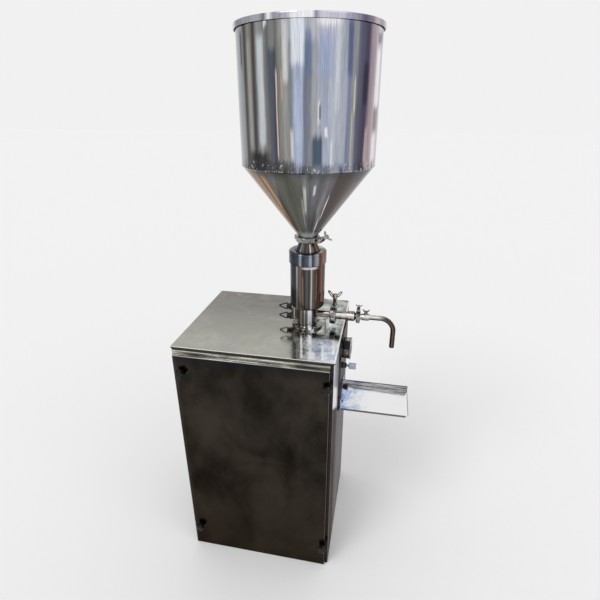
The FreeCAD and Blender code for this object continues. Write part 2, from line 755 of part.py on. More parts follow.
def hopper():
    """The open hopper of one sheet: ferrule, cone and straight wall, with a folded rim band on top."""
    wall = S.hopper_wall
    radius = S.hopper_radius
    cone_foot = 8.6
    cone_start = 28.2
    cone_top = cone_foot + S.cone_height
    top = cone_top + S.hopper_straight
    slant = wall * 1.265
    outline = (
        [(THROAT, 0.6)]
        + ferrule(HOPPER_FERRULE, HOPPER_TUBE)[:3]
        + [(cone_start, cone_foot), (radius, cone_top), (radius, top - wall), (radius - wall, top - wall)]
        + [(radius - wall, cone_top + 0.4), (cone_start - slant, cone_foot), (THROAT, cone_foot - 3)]
    )
    kept(turned("hopper_shell", outline, tower(0, 0, HOPPER_JOINT)))
    band = S.rim_band
    outer = radius + S.rim_proud
    rim = [
        (radius, -band),
        (outer - 1.5, -band),
        (outer, 1.5 - band),
        (outer, -1.5),
        (outer - 1.5, 0),
        (radius - wall, 0),
        (radius - wall, -wall),
        (radius, -wall),
    ]
    kept(turned("hopper_rim", rim, tower(0, 0, HOPPER_JOINT + top)))


# Clamps

NUT_HEIGHT = 35


class ClampPlan:
    """Directions and sizes of one hinged ring clamp: the side of its bolt, the bolt's way, its ring's axis."""

    def __init__(self, name, centre, ways, radii, half_width, lug, nut_scale, wing_turn):
        self.name = name
        self.centre = centre
        self.side, self.bolt_way, self.axis = ways
        self.outer, self.ferrule = radii
        self.half_width = half_width
        self.lug = lug
        self.nut_scale = nut_scale
        self.shank = 3 * nut_scale
        self.bolt_out = self.outer + 4 + 3 * nut_scale
        self.spread = self.axis * math.cos(wing_turn) + self.side * math.sin(wing_turn)

    def frame(self):
        return FreeCAD.Rotation(self.side, self.bolt_way, self.axis, "ZXY")

    def bolt_frame(self):
        """The bolt's own Z runs along it, and its X lies along the ring's axis."""
        return FreeCAD.Rotation(self.axis, self.bolt_way.cross(self.axis), self.bolt_way, "ZXY")

    def place(self, across, along, up):
        """A point given in the clamp's own directions, as a place in the machine."""
        spot = []
        for number in range(3):
            shift = across * self.side[number] + along * self.bolt_way[number] + up * self.axis[number]
            spot.append(self.centre[number] + shift)
        return tuple(spot)


def half_clamp(plan, sign):
    """One half ring with its forked lug and its share of the hinge knuckles."""
    name = f"{plan.name}_half_{'far' if sign > 0 else 'near'}"
    turn = plan.frame()
    here = plan.place(0, 0, 0)
    wide = plan.half_width
    mouth = plan.ferrule + 0.3
    inner = plan.ferrule - min(3.6, 0.15 * plan.ferrule)
    outline = [
        (inner, -wide),
        (plan.outer - 2, -wide),
        (plan.outer, 2 - wide),
        (plan.outer, wide - 2),
        (plan.outer - 2, wide),
        (inner, wide),
        (inner, 5.2),
        (mouth, 3.6),
        (mouth, -3.6),
        (inner, -5.2),
    ]
    whole = turned(f"{name}_ring", outline, here, turn)
    reach = plan.outer + 30
    split = 1.5
    low_y, high_y = (split, reach) if sign > 0 else (-reach, -split)
    half_space = local_block(f"{name}_side", plan, (-reach, low_y, -reach), (reach, high_y, reach))
    arc = shared(f"{name}_arc", whole, half_space)
    lug_y = (split, plan.lug) if sign > 0 else (-plan.lug, -split)
    lug_wide = wide - 1.5
    lug = local_block(
        f"{name}_lug",
        plan,
        (plan.ferrule + 1.2, lug_y[0], -lug_wide),
        (plan.bolt_out + plan.shank + 3, lug_y[1], lug_wide),
    )
    fork = local_block(
        f"{name}_fork",
        plan,
        (plan.bolt_out - plan.shank - 0.5, -reach, -plan.shank - 0.5),
        (reach, reach, plan.shank + 0.5),
    )
    third = lug_wide / 3
    gap = 0.1
    if sign > 0:
        spans = ((-lug_wide, -third - gap), (third + gap, lug_wide))
        other = ((-third - gap, third + gap),)
    else:
        spans = ((gap - third, third - gap),)
        other = ((-lug_wide - 1, gap - third), (third - gap, lug_wide + 1))
    knuckle_radius = 5.2 * plan.nut_scale
    pivot = -(plan.outer + 0.6 * knuckle_radius)
    knuckles = [
        bar(f"{name}_knuckle_{number}", knuckle_radius, end - start, plan.place(pivot, 0, start), turn)
        for number, (start, end) in enumerate(spans, start=1)
    ]
    reliefs = [
        bar(f"{name}_relief_{number}", knuckle_radius + 2 * gap, end - start, plan.place(pivot, 0, start), turn)
        for number, (start, end) in enumerate(other, start=1)
    ]
    solid = fused(f"{name}_solid", [arc, lug] + knuckles)
    return without(name, solid, [fork] + reliefs)


def local_block(name, plan, low, high):
    """A box between two corners that are given in a clamp's own directions."""
    item = DOC.addObject("Part::Box", name)
    for side, start, end in zip(("Length", "Width", "Height"), low, high):
        tie(item, side, tied(end) - start)
    return put(item, plan.place(*low), plan.frame())


def clamp_bolt(plan):
    """The T-headed bolt that stands through both forks."""
    wide = plan.half_width - 1.5
    head_radius = plan.shank + 0.8
    head_y = -plan.lug - head_radius
    head_place = plan.place(plan.bolt_out, head_y, -wide)
    head = bar(f"{plan.name}_head", head_radius, 2 * wide, head_place, plan.frame())
    length = 2 * plan.lug + head_radius + NUT_HEIGHT * plan.nut_scale + 2
    shank_place = plan.place(plan.bolt_out, head_y, 0)
    shank = bar(f"{plan.name}_shank", plan.shank, length, shank_place, plan.bolt_frame())
    return fused(f"{plan.name}_t_bolt", [head, shank])


def wing_nut(plan):
    """A waisted nut with two looped wings, on the bolt above the upper fork."""
    scale = plan.nut_scale
    bore = plan.shank + S.running_fit
    seat = plan.lug + S.seat_gap
    hub_outline = [
        (bore, 0),
        (7.5 * scale, 0),
        (7.5 * scale, 7 * scale),
        (5.2 * scale, 11 * scale),
        (5.2 * scale, 20 * scale),
        (6.8 * scale, 25 * scale),
        (6.8 * scale, (NUT_HEIGHT - 2) * scale),
        (5.6 * scale, NUT_HEIGHT * scale),
        (bore, NUT_HEIGHT * scale),
    ]
    name = plan.name.replace("clamp", "wing_nut")
    place = plan.place(plan.bolt_out, seat, 0)
    parts = [turned(f"{name}_hub", hub_outline, place, plan.bolt_frame())]
    thick = 2.6 * scale
    push = plan.spread.cross(plan.bolt_way)
    turn = FreeCAD.Rotation(plan.spread, plan.bolt_way, push, "ZXY")
    corner = tuple(spot - push[number] * thick / 2 for number, spot in enumerate(place))
    outer_loop = [(6, 25), (10, 27), (17, 36), (19, 42), (17.5, 45), (13.5, 43), (10, 37), (6, 33)]
    inner_loop = [(8.5, 28.5), (15.5, 37.5), (16.5, 42), (11.5, 36.5), (8.5, 32.5)]
    for word, sign in (("left", -1), ("right", 1)):
        outlines = [
            [(sign * scale * across, scale * along) for across, along in loop]
            for loop in (outer_loop, inner_loop)
        ]
        parts.append(pressed(f"{name}_{word}_wing", outlines, thick, corner, turn))
    return fused(name, parts)


def clamps():
    """The three ring clamps: hopper, outlet and spout, with their bolts in one group."""
    to_right = FreeCAD.Vector(1, 0, 0)
    to_rear = FreeCAD.Vector(0, 1, 0)
    upward = FreeCAD.Vector(0, 0, 1)
    aside = FreeCAD.Rotation(upward, -17)
    hopper_place = tower(0, 0, HOPPER_JOINT)
    hopper_ways = (aside.multVec(to_right), aside.multVec(to_rear), upward)
    outlet_place = tower(S.valve_reach, 0, OUTLET_HEIGHT)
    outlet_ways = (to_rear, upward, to_right)
    spout_place = tower(S.spout_reach, 0, OUTLET_HEIGHT)
    spout_ways = (upward, to_rear, -to_right)
    plans = (
        ClampPlan(
            "hopper_clamp", hopper_place, hopper_ways, (37, HOPPER_FERRULE), 8, 11, 1.0, math.radians(-45)
        ),
        ClampPlan("outlet_clamp", outlet_place, outlet_ways, (30, OUTLET_FERRULE), 9.5, 12, 1.25, 0),
        ClampPlan("spout_clamp", spout_place, spout_ways, (19, SPOUT_FERRULE), 7, 8, 0.6, 0),
    )
    bolts = []
    for plan in plans:
        kept(group(plan.name, [half_clamp(plan, sign) for sign in (-1, 1)]))
        kept(wing_nut(plan))
        bolts.append(clamp_bolt(plan))
    kept(group("clamp_bolts", bolts))


# Outlet line


def outlet_valve():
    """The non-return valve: an inlet body with its seat, an outlet body screwed over it, and a ball."""
    start = S.valve_reach + 0.6
    seam = S.valve_reach + S.valve_seam
    seat = S.valve_reach + S.valve_seat
    end = S.spout_reach - 0.6
    bore = S.pipe_bore
    seat_bore = S.ball_radius - 1.5
    thread = 12.2
    flange = [(radius, gap - 0.6) for radius, gap in ferrule(OUTLET_FERRULE, S.pipe_radius + 2.5)]
    inlet = (
        [(bore, 0)]
        + flange
        + [(13.5, seam - start), (thread, seam - start), (thread, seat - start), (seat_bore, seat - start)]
        + [(seat_bore, seat - start - 6), (bore, seat - start - 9)]
    )
    kept(turned("valve_inlet_body", inlet, tower(start, 0, OUTLET_HEIGHT), RIGHT))
    cap_start = seam + 3
    chamber_end = S.valve_reach + S.valve_room
    tail = [
        (radius, end - cap_start - gap + 0.6) for radius, gap in reversed(ferrule(SPOUT_FERRULE, SPOUT_TUBE))
    ]
    cap = (
        [(thread, 0), (15, 0), (16, 1), (16, 21), (13, 24)]
        + tail
        + [(S.spout_bore, end - cap_start), (S.spout_bore, chamber_end - cap_start)]
        + [(thread, chamber_end - cap_start - 6)]
    )
    kept(turned("valve_outlet_body", cap, tower(cap_start, 0, OUTLET_HEIGHT), RIGHT))
    ball = DOC.addObject("Part::Sphere", "valve_ball")
    tie(ball, "Radius", S.ball_radius)
    reach = math.sqrt(float(S.ball_radius) ** 2 - float(seat_bore) ** 2) + float(S.seat_gap)
    kept(put(ball, tower(seat + reach, 0, OUTLET_HEIGHT)))


def spout_socket():
    """The socket after the spout clamp, with a thumb screw on top that holds the spout's angle."""
    start = S.spout_reach + 0.6
    flange = [(radius, gap - 0.6) for radius, gap in ferrule(SPOUT_FERRULE, SPOUT_TUBE)]
    block_start = S.socket_end - 22
    hole = S.spout_radius + S.running_fit
    outline = (
        [(S.spout_bore, 0)]
        + flange
        + [(SPOUT_TUBE, block_start - start - 1), (11, block_start - start), (11, S.socket_end - start - 1)]
        + [(10, S.socket_end - start), (hole, S.socket_end - start), (hole, block_start - start)]
        + [(S.spout_bore, block_start - start)]
    )
    body = turned("socket_body", outline, tower(start, 0, OUTLET_HEIGHT), RIGHT)
    boss = bar("socket_boss", 5.5, 8, tower(S.socket_end - 11, 0, OUTLET_HEIGHT + 6), UP)
    solid = fused("socket_solid", [body, boss])
    cuts = [
        bar("socket_spout_room", hole, 22, tower(block_start, 0, OUTLET_HEIGHT), RIGHT),
        bar("socket_screw_room", 2.5 + S.running_fit, 20, tower(S.socket_end - 11, 0, OUTLET_HEIGHT), UP),
    ]
    kept(without("spout_socket", solid, cuts))
    top = OUTLET_HEIGHT + 14 + S.seat_gap
    screw_foot = OUTLET_HEIGHT + S.spout_radius + S.seat_gap
    screw_x = S.socket_end - 11
    stud = bar("socket_screw_stud", 2.5, top - screw_foot + 1, tower(screw_x, 0, screw_foot))
    hub_outline = [(0, 0), (5, 0), (5, 4), (3.5, 6), (3.5, 8), (0, 8)]
    hub = turned("socket_screw_hub", hub_outline, tower(screw_x, 0, top))
    right_ear = [(4, 2), (9, 6), (11.5, 11), (10.5, 13), (7, 12), (3.4, 7)]
    left_ear = [(-across, along) for across, along in reversed(right_ear)]
    wings = pressed("socket_screw_wings", [right_ear + left_ear], 2.4, tower(screw_x, 1.2, top), FORWARD)
    kept(fused("spout_wing_screw", [stud, hub, wings]))


def spout():
    """The bent filling spout: straight into the socket, a quarter bend, and a drop leg."""
    root = S.socket_end - 22 + S.seat_gap
    reach = float(S.spout_end - root)
    bend = float(S.spout_bend)
    drop = float(S.spout_drop)
    straight = reach - bend
    half_way = bend * math.cos(math.pi / 4)
    bend_start = FreeCAD.Vector(straight, 0, 0)
    bend_middle = FreeCAD.Vector(straight + half_way, 0, half_way - bend)
    bend_end = FreeCAD.Vector(reach, 0, -bend)
    path = Part.Wire(
        [
            Part.LineSegment(FreeCAD.Vector(), bend_start).toShape(),
            Part.Arc(bend_start, bend_middle, bend_end).toShape(),
            Part.LineSegment(bend_end, FreeCAD.Vector(reach, 0, -drop)).toShape(),
        ]
    )
    runs = []
    for radius in (S.spout_radius, S.spout_bore):
        circle = Part.Wire([Part.makeCircle(float(radius), FreeCAD.Vector(), FreeCAD.Vector(1, 0, 0))])
        runs.append(path.makePipeShell([circle], True, True))
    item = DOC.addObject("Part::Feature", "spout")
    item.Shape = runs[0].cut(runs[1])
    kept(put(item, tower(root, 0, OUTLET_HEIGHT)))


# Pump and air cylinder


def pump():
    """Piston with its seals and sliding plate valve, the rod through the gland, and the coupling."""
    radius = PISTON_RADIUS
    groove = radius - 4
    length = S.piston_length
    outline = [(S.rod_radius, 0), (radius - 1, 0), (radius, 1)]
    for foot in (6, 17):
        outline += [(radius, foot), (groove, foot), (groove, foot + 5), (radius, foot + 5)]
    dish = length - 10
    outline += [(radius, length - 1), (radius - 6, length), (30, length), (24, dish), (S.rod_radius, dish)]
    blank = turned("piston_blank", outline, tower(0, 0, PISTON_FOOT))
    ports = []
    for number in range(6):
        angle = math.radians(60 * number)
        place = tower(17 * math.cos(angle), 17 * math.sin(angle), PISTON_FOOT - 1)
        ports.append(bar(f"piston_port_{number}", 4.5, length, place))
    kept(without("pump_piston", blank, ports))
    lip = S.barrel_bore - S.running_fit / 2
    seals = [
        ring(f"piston_seal_{number}", lip, groove, 5, tower(0, 0, PISTON_FOOT + foot))
        for number, foot in enumerate((6, 17), start=1)
    ]
    kept(group("piston_seals", seals))
    valve_top = PISTON_FOOT - S.seat_gap
    kept(ring("piston_valve_plate", 23, S.rod_radius + S.running_fit, 4, tower(0, 0, valve_top - 4)))
    rod_foot = COUPLING_TOP - 16
    rod_top = PISTON_FOOT + dish + 8
    shaft = bar("pump_rod_shaft", S.rod_radius, rod_top - rod_foot, tower(0, 0, rod_foot))
    stop = bar("pump_rod_stop", 12, 4, tower(0, 0, valve_top - 4 - 5 - S.seat_gap - 4))
    nut = hexagon("pump_rod_nut", 12, 7, tower(0, 0, PISTON_FOOT + dish))
    kept(fused("pump_rod", [shaft, stop, nut]))
    high = S.coupling_length
    coupling_outline = [(0, 0), (15, 0), (16, 1), (16, high - 1), (15, high), (0, high)]
    coupling = turned("coupling_blank", coupling_outline, tower(0, 0, COUPLING_FOOT))
    flat_foot = COUPLING_FOOT + 14
    flat_top = flat_foot + 8
    sockets = [
        bar("coupling_upper_socket", S.rod_radius, 17, tower(0, 0, rod_foot)),
        bar("coupling_lower_socket", 9, 16, tower(0, 0, COUPLING_FOOT - 1)),
        block("coupling_flat_front", tower(-20, -20, flat_foot), tower(20, -13, flat_top)),
        block("coupling_flat_rear", tower(-20, 13, flat_foot), tower(20, 20, flat_top)),
    ]
    kept(without("rod_coupling", coupling, sockets))


def air_cylinder():
    """The pneumatic cylinder that hangs on four tie rods under the support plate."""
    half = S.cap_side / 2
    tie_hole = S.tie_radius + 0.2
    drive = 9
    caps = (
        ("cylinder_lower_cap", CYLINDER_FOOT, []),
        ("cylinder_upper_cap", TUBE_TOP, [("rod", drive + S.running_fit)]),
    )
    for name, foot, bores in caps:
        blank = block(f"{name}_blank", tower(-half, -half, foot), tower(half, half, foot + S.cap_thick))
        holes = [
            bar(f"{name}_tie_{number}", tie_hole, 2 * S.cap_thick, tower(x, y, foot - 1))
            for number, (x, y) in enumerate(corners_of(S.tie_offset), start=1)
        ]
        holes += [bar(f"{name}_{word}", size, 2 * S.cap_thick, tower(0, 0, foot - 1)) for word, size in bores]
        port_place = tower(half - 14, 0, foot + S.cap_thick / 2)
        holes.append(bar(f"{name}_air", 5, 20, port_place, RIGHT))
        kept(without(name, blank, holes))
    kept(ring("cylinder_tube", S.cylinder_radius, S.cylinder_bore, S.cylinder_length, tower(0, 0, TUBE_FOOT)))
    rods = []
    tubes = []
    for number, (x, y) in enumerate(corners_of(S.tie_offset), start=1):
        foot = CYLINDER_FOOT - 12
        shaft = bar(f"tie_shaft_{number}", S.tie_radius, SUPPORT_TOP - foot, tower(x, y, foot))
        nut = hexagon(f"tie_nut_{number}", 8.5, 8, tower(x, y, CYLINDER_FOOT - 8))
        rods.append(fused(f"tie_rod_{number}", [shaft, nut]))
        tube_place = tower(x, y, CYLINDER_TOP)
        tubes.append(ring(f"spacer_{number}", 7.8, tie_hole, SUPPORT_FOOT - CYLINDER_TOP, tube_place))
    kept(group("tie_rods", rods))
    kept(group("spacer_tubes", tubes))
    piston_foot = TUBE_FOOT + 2
    piston_radius = S.cylinder_bore - S.running_fit
    disc = bar("air_piston_disc", piston_radius, S.air_piston, tower(0, 0, piston_foot))
    shaft = bar("air_piston_shaft", drive, COUPLING_FOOT + 15 - piston_foot, tower(0, 0, piston_foot))
    kept(fused("air_piston_rod", [disc, shaft]))


def air_inlet_place(shift):
    """The compressed-air inlet in the rear panel, low on the right, shifted along Y."""
    return (S.cabinet_width * 0.36, FRAME_REAR + shift, S.cabinet_height * 0.16)


def air_inlet():
    """A brass bulkhead connector with a hexagon outside and a lock nut inside."""
    outline = [(6, -16), (8.8, -16), (8.8, S.panel_sheet), (8.8, 12), (10, 13), (10, 26), (8, 28), (6, 28)]
    spindle = turned("inlet_spindle", outline, air_inlet_place(0), REARWARD)
    outer_hexagon = hexagon("inlet_hexagon", 14, 8, air_inlet_place(S.panel_sheet), REARWARD)
    lock_nut = hexagon("inlet_lock_nut", 14, 6, air_inlet_place(-6), REARWARD)
    solid = fused("inlet_solid", [spindle, outer_hexagon, lock_nut])
    kept(without("air_inlet", solid, [bar("inlet_bore", 6, 60, air_inlet_place(-20), REARWARD)]))


# Controls


def control_plate():
    """A shallow pan on the right wall, with the tray's slot and the holes of the controls."""
    half = S.plate_half
    wall = S.tray_sheet
    outer = block("plate_outer", (SIDE_FACE, -half, PLATE_LOW), (PLATE_FACE, half, PLATE_HIGH))
    room = block(
        "plate_room",
        (SIDE_FACE - 1, wall - half, PLATE_LOW + wall),
        (PLATE_FACE - wall, half - wall, PLATE_HIGH - wall),
    )
    stud = S.knob_stud + 0.5
    knob_height = TRAY_HEIGHT + S.tray_knob_rise
    slot = block(
        "plate_slot",
        (SIDE_FACE, -stud, knob_height - S.tray_down - stud),
        (PLATE_FACE + 1, stud, knob_height + S.tray_up + stud),
    )
    holes = [
        bar("plate_gauge_hole", 6, 20, (SIDE_FACE - 5, 0, GAUGE_HEIGHT), RIGHT),
        bar("plate_regulator_hole", 10, 20, (SIDE_FACE - 5, -S.regulator_side, REGULATOR_HEIGHT), RIGHT),
        bar("plate_button_hole", 8, 20, (SIDE_FACE - 5, -S.button_side, BUTTON_HEIGHT), RIGHT),
    ]
    kept(without("control_plate", outer, [room, slot] + holes))


def regulator():
    """The pressure regulator: its body inside the cabinet, its ribbed knob on the plate."""
    centre_y = -S.regulator_side
    height = REGULATOR_HEIGHT
    back = FRAME_SIDE - 45
    seat = PLATE_FACE - S.tray_sheet
    body = block(
        "regulator_block", (back, centre_y - 18, height - 24), (FRAME_SIDE - 5, centre_y + 18, height + 13)
    )
    neck = bar("regulator_neck", 10, seat + 3 - back - 30, (back + 30, centre_y, height), RIGHT)
    kept(fused("regulator_body", [body, neck]))
    knob_start = PLATE_FACE + 1 + S.seat_gap
    profile = [(0, 0), (14, 0), (15, 1), (15, 14), (13, 16), (13, 21), (12, 22), (0, 22)]
    knob = turned("regulator_knob_blank", profile, (knob_start, centre_y, height), RIGHT)
    flutes = []
    for number in range(10):
        angle = math.radians(36 * number)
        place = (knob_start - 1, centre_y + 16 * math.cos(angle), height + 16 * math.sin(angle))
        flutes.append(bar(f"regulator_flute_{number}", 2.2, 15, place, RIGHT))
    kept(without("regulator_knob", knob, flutes))


def gauge():
    """A pressure gauge: deep case with a bezel, a dial plate, a needle on its pin, and a glass."""
    place = (PLATE_FACE, 0, GAUGE_HEIGHT)
    radius = S.gauge_radius
    depth = S.gauge_depth
    inside = radius - 3
    case = [
        (0, -18),
        (5.8, -18),
        (5.8, 0),
        (radius - 2, 0),
        (radius, 2),
        (radius, depth - 5),
        (radius + 2, depth - 4),
        (radius + 2, depth - 1),
        (radius + 1, depth),
        (inside, depth),
        (inside, 12),
        (1.2, 12),
        (1.2, 16),
        (0, 16),
    ]
    kept(turned("gauge_case", case, place, RIGHT))
    kept(ring("gauge_dial", inside, 3, 1, (PLATE_FACE + 12, 0, GAUGE_HEIGHT), RIGHT))
    needle_place = (PLATE_FACE + 13 + S.seat_gap, 0, GAUGE_HEIGHT)
    hub = ring("needle_hub", 3.6, 1.2 + S.running_fit, 2, needle_place, RIGHT)
    turn = FreeCAD.Rotation(FreeCAD.Vector(0, 1, 0), FreeCAD.Vector(0, 0, 1), FreeCAD.Vector(1, 0, 0), "ZXY")
    pointer_outline = [(-21, -17.5), (-18, -20), (-1.2, -2.6), (-2.6, -1.2)]
    pointer = pressed("needle_pointer", [pointer_outline], 0.8, needle_place, turn)
    tail = pressed("needle_tail", [[(1.6, 2.8), (2.8, 1.6), (8.5, 6), (6, 8.5)]], 0.8, needle_place, turn)
    kept(fused("gauge_needle", [hub, pointer, tail]))
    kept(bar("gauge_glass", inside, 1.5, (PLATE_FACE + depth - 4, 0, GAUGE_HEIGHT), RIGHT))


def push_button():
    """The start button: a sprung cap on a stem, in a bezel that belongs to the valve behind the plate."""
    centre_y = -S.button_side
    height = BUTTON_HEIGHT
    back = FRAME_SIDE - 42
    bezel_end = 14
    body = block(
        "button_block", (back, centre_y - 15, height - 15), (FRAME_SIDE - 6, centre_y + 15, height + 15)
    )
    sleeve = bar("button_sleeve", 7.8, PLATE_FACE - back - 20, (back + 20, centre_y, height), RIGHT)
    bezel_profile = [(4, 0), (11, 0), (11, 3), (8.5, 6), (8.5, bezel_end), (4, bezel_end)]
    bezel = turned("button_bezel", bezel_profile, (PLATE_FACE, centre_y, height), RIGHT)
    solid = fused("button_valve_solid", [body, sleeve, bezel])
    stem_room = bar("button_stem_room", 4 + S.running_fit, 60, (FRAME_SIDE - 12, centre_y, height), RIGHT)
    kept(without("button_valve", solid, [stem_room]))
    cap_start = bezel_end + S.button_travel + 1
    cap_profile = [(0, 0), (9.5, 0), (10.5, 1), (10.5, 19), (9.5, 21), (8, 24), (0, 24)]
    cap = turned("button_cap", cap_profile, (PLATE_FACE + cap_start, centre_y, height), RIGHT)
    stem = bar("button_stem", 4, cap_start + 12, (PLATE_FACE - 10, centre_y, height), RIGHT)
    kept(fused("push_button", [cap, stem]))


def tray():
    """The container tray: bent sheet with a rear wall, front and end hems and a clamping tab."""
    start = PLATE_FACE + S.seat_gap
    end = start + S.tray_length
    sheet = S.tray_sheet
    half = S.tray_half
    top = TRAY_HEIGHT
    corner = 9
    reach = S.tray_length
    base_outline = [(0, -half), (reach - corner, -half), (reach, corner - half), (reach, half), (0, half)]
    base = pressed("tray_base", [base_outline], sheet, (start, 0, top - sheet))
    rear = block("tray_rear", (start, half - sheet, top - sheet), (end, half, top + S.tray_wall))
    hem_foot = top - sheet - 4
    front = block("tray_front_hem", (start, -half, hem_foot), (end - corner, sheet - half, top - 0.5))
    side = block("tray_end_hem", (end - sheet, corner - half, hem_foot), (end, half, top - 0.5))
    low_tab = block("tray_low_tab", (start, -half, top - sheet), (start + sheet, half, top + S.tray_wall))
    tab = block("tray_tab", (start, -S.tray_tab_half, top), (start + sheet, S.tray_tab_half, top + S.tray_tab))
    solid = fused("tray_solid", [base, rear, front, side, low_tab, tab])
    hole_place = (start - 1, 0, top + S.tray_knob_rise)
    hole = bar("tray_knob_hole", S.knob_stud + S.running_fit, 3 * sheet, hole_place, RIGHT)
    kept(without("tray", solid, [hole]))
    knob_start = start + sheet + S.seat_gap
    profile = [(0, 0), (8, 0), (8, 4), (10.5, 6), (10.5, 15), (9, 17), (0, 17)]
    knob_place = (knob_start, 0, top + S.tray_knob_rise)
    head = turned("tray_knob_blank", profile, knob_place, RIGHT)
    flutes = []
    for number in range(6):
        angle = math.radians(60 * number)
        place = (knob_start + 5, 12 * math.cos(angle), top + S.tray_knob_rise + 12 * math.sin(angle))
        flutes.append(bar(f"tray_knob_flute_{number}", 2.6, 14, place, RIGHT))
    cut = without("tray_knob_head", head, flutes)
    stud_start = SIDE_FACE + 1
    stud = bar(
        "tray_knob_stud", S.knob_stud, knob_start - stud_start + 1, (stud_start, 0, top + S.tray_knob_rise), RIGHT
    )
    plate_back = PLATE_FACE - sheet
    washer = bar(
        "tray_knob_washer", 8, 2, (plate_back - S.seat_gap - 2, 0, top + S.tray_knob_rise), RIGHT
    )
    kept(fused("tray_knob", [cut, stud, washer]))


def faults():
    """Names of items that failed, and of finished pieces whose shape is empty or invalid."""
    failed = [item.Name for item in DOC.Objects if {"Invalid", "Error"} & set(item.State)]
    bad = [item.Label for item in KEPT if item.Shape.isNull() or not item.Shape.isValid()]
    return failed + bad


def build():
    cabinet_frame()
    cabinet_skin()
    front_panel()
    front_knobs()
    support_plate()
    column()
    side_cover()
    column_bolts()
    rod_seal()
    barrel()
    collar_nut()
    feed_neck()
    gaskets()
    hopper()
    clamps()
    outlet_valve()
    spout_socket()
    spout()
    pump()
    air_cylinder()
    air_inlet()
    control_plate()
    regulator()
    gauge()
    push_button()
    tray()
    DOC.recompute()
    wrong = faults()
    if wrong:
        raise RuntimeError("these pieces failed: " + ", ".join(wrong))
    os.makedirs("parts", exist_ok=True)
    for item in KEPT:
        item.Shape.exportStep(f"parts/{item.Label}.step")
        print(item.Label, len(item.Shape.Solids), round(item.Shape.Volume, 1))
    print(len(KEPT), "pieces")


build()
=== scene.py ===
"""Looks of a floor-standing piston filler for pastes: an open hopper and a pump tower on a steel cabinet.

Lengths are in metres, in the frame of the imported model: +X to the right of the front panel, +Y to the rear
and +Z up from the floor. Every finished object sits at the origin with its place in its mesh.
"""

import json
import logging
import math
from dataclasses import dataclass, field
from enum import Enum
from typing import Callable, Mapping, Sequence

import bmesh
import bpy
import numpy as np
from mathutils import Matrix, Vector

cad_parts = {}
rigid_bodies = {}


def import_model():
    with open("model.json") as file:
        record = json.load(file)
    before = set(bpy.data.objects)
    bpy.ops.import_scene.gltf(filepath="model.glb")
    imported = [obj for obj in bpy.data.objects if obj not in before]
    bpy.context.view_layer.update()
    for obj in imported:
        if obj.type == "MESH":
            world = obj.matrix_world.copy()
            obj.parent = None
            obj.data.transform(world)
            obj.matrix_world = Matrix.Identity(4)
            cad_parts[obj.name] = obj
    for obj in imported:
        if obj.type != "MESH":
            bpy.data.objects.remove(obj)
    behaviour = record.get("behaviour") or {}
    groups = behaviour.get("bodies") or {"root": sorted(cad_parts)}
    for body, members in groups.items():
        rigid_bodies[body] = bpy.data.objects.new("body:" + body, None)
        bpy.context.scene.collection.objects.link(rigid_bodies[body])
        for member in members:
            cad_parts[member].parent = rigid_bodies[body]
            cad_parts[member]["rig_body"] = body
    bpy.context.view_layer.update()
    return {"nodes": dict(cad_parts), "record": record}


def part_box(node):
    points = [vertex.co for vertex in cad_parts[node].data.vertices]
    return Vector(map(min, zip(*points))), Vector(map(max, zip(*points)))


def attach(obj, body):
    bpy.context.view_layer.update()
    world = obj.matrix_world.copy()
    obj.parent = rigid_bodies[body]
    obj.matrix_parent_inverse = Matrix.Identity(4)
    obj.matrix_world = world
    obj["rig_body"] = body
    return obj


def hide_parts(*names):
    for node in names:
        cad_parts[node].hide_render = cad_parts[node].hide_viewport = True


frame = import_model()

LOG = logging.getLogger("paste_filler")
MM = 0.001
TURN = 2 * math.pi
IMAGE_SIDE = 600

Place = tuple[float, float, float]
Colour = tuple[float, float, float]
Bands = tuple[tuple[float, Colour], ...]
Corners = Sequence[tuple[float, float]]
Scale = Callable[[np.ndarray], np.ndarray]

SHARP_ANGLE = 38.0


class Way(Enum):
    """Directions of a piece's own x, y and z, named for where its z points."""

    RIGHT = (0, 1, 0), (0, 0, 1), (1, 0, 0)
    LEFT = (0, 0, 1), (0, 1, 0), (-1, 0, 0)


# Mesh maths


@dataclass
class Patch:
    """One closed piece of surface.

    Attributes:
        points: Corner points, one row each.
        quads: Four-sided faces as rows of corner numbers.
        caps: Faces with more corners, each a sequence of corner numbers.
    """

    points: np.ndarray
    quads: np.ndarray
    caps: list[list[int]] = field(default_factory=list)

    def volume(self) -> float:
        """The signed volume: a sum over the faces, each split into a fan of triangles."""
        total = 0.0
        fans = [self.quads[:, [0, 1, 2]], self.quads[:, [0, 2, 3]]] if len(self.quads) else []
        for cap in self.caps:
            fans.append(np.array([[cap[0], first, second] for first, second in zip(cap[1:], cap[2:])]))
        for fan in fans:
            a, b, c = (self.points[fan[:, number]] for number in range(3))
            total += float(np.einsum("ij,ij->i", a, np.cross(b, c)).sum()) / 6
        return total

    def outward(self) -> "Patch":
        """The same surface with its faces pointing out."""
        if self.volume() >= 0:
            return self
        return Patch(self.points, self.quads[:, ::-1], [cap[::-1] for cap in self.caps])


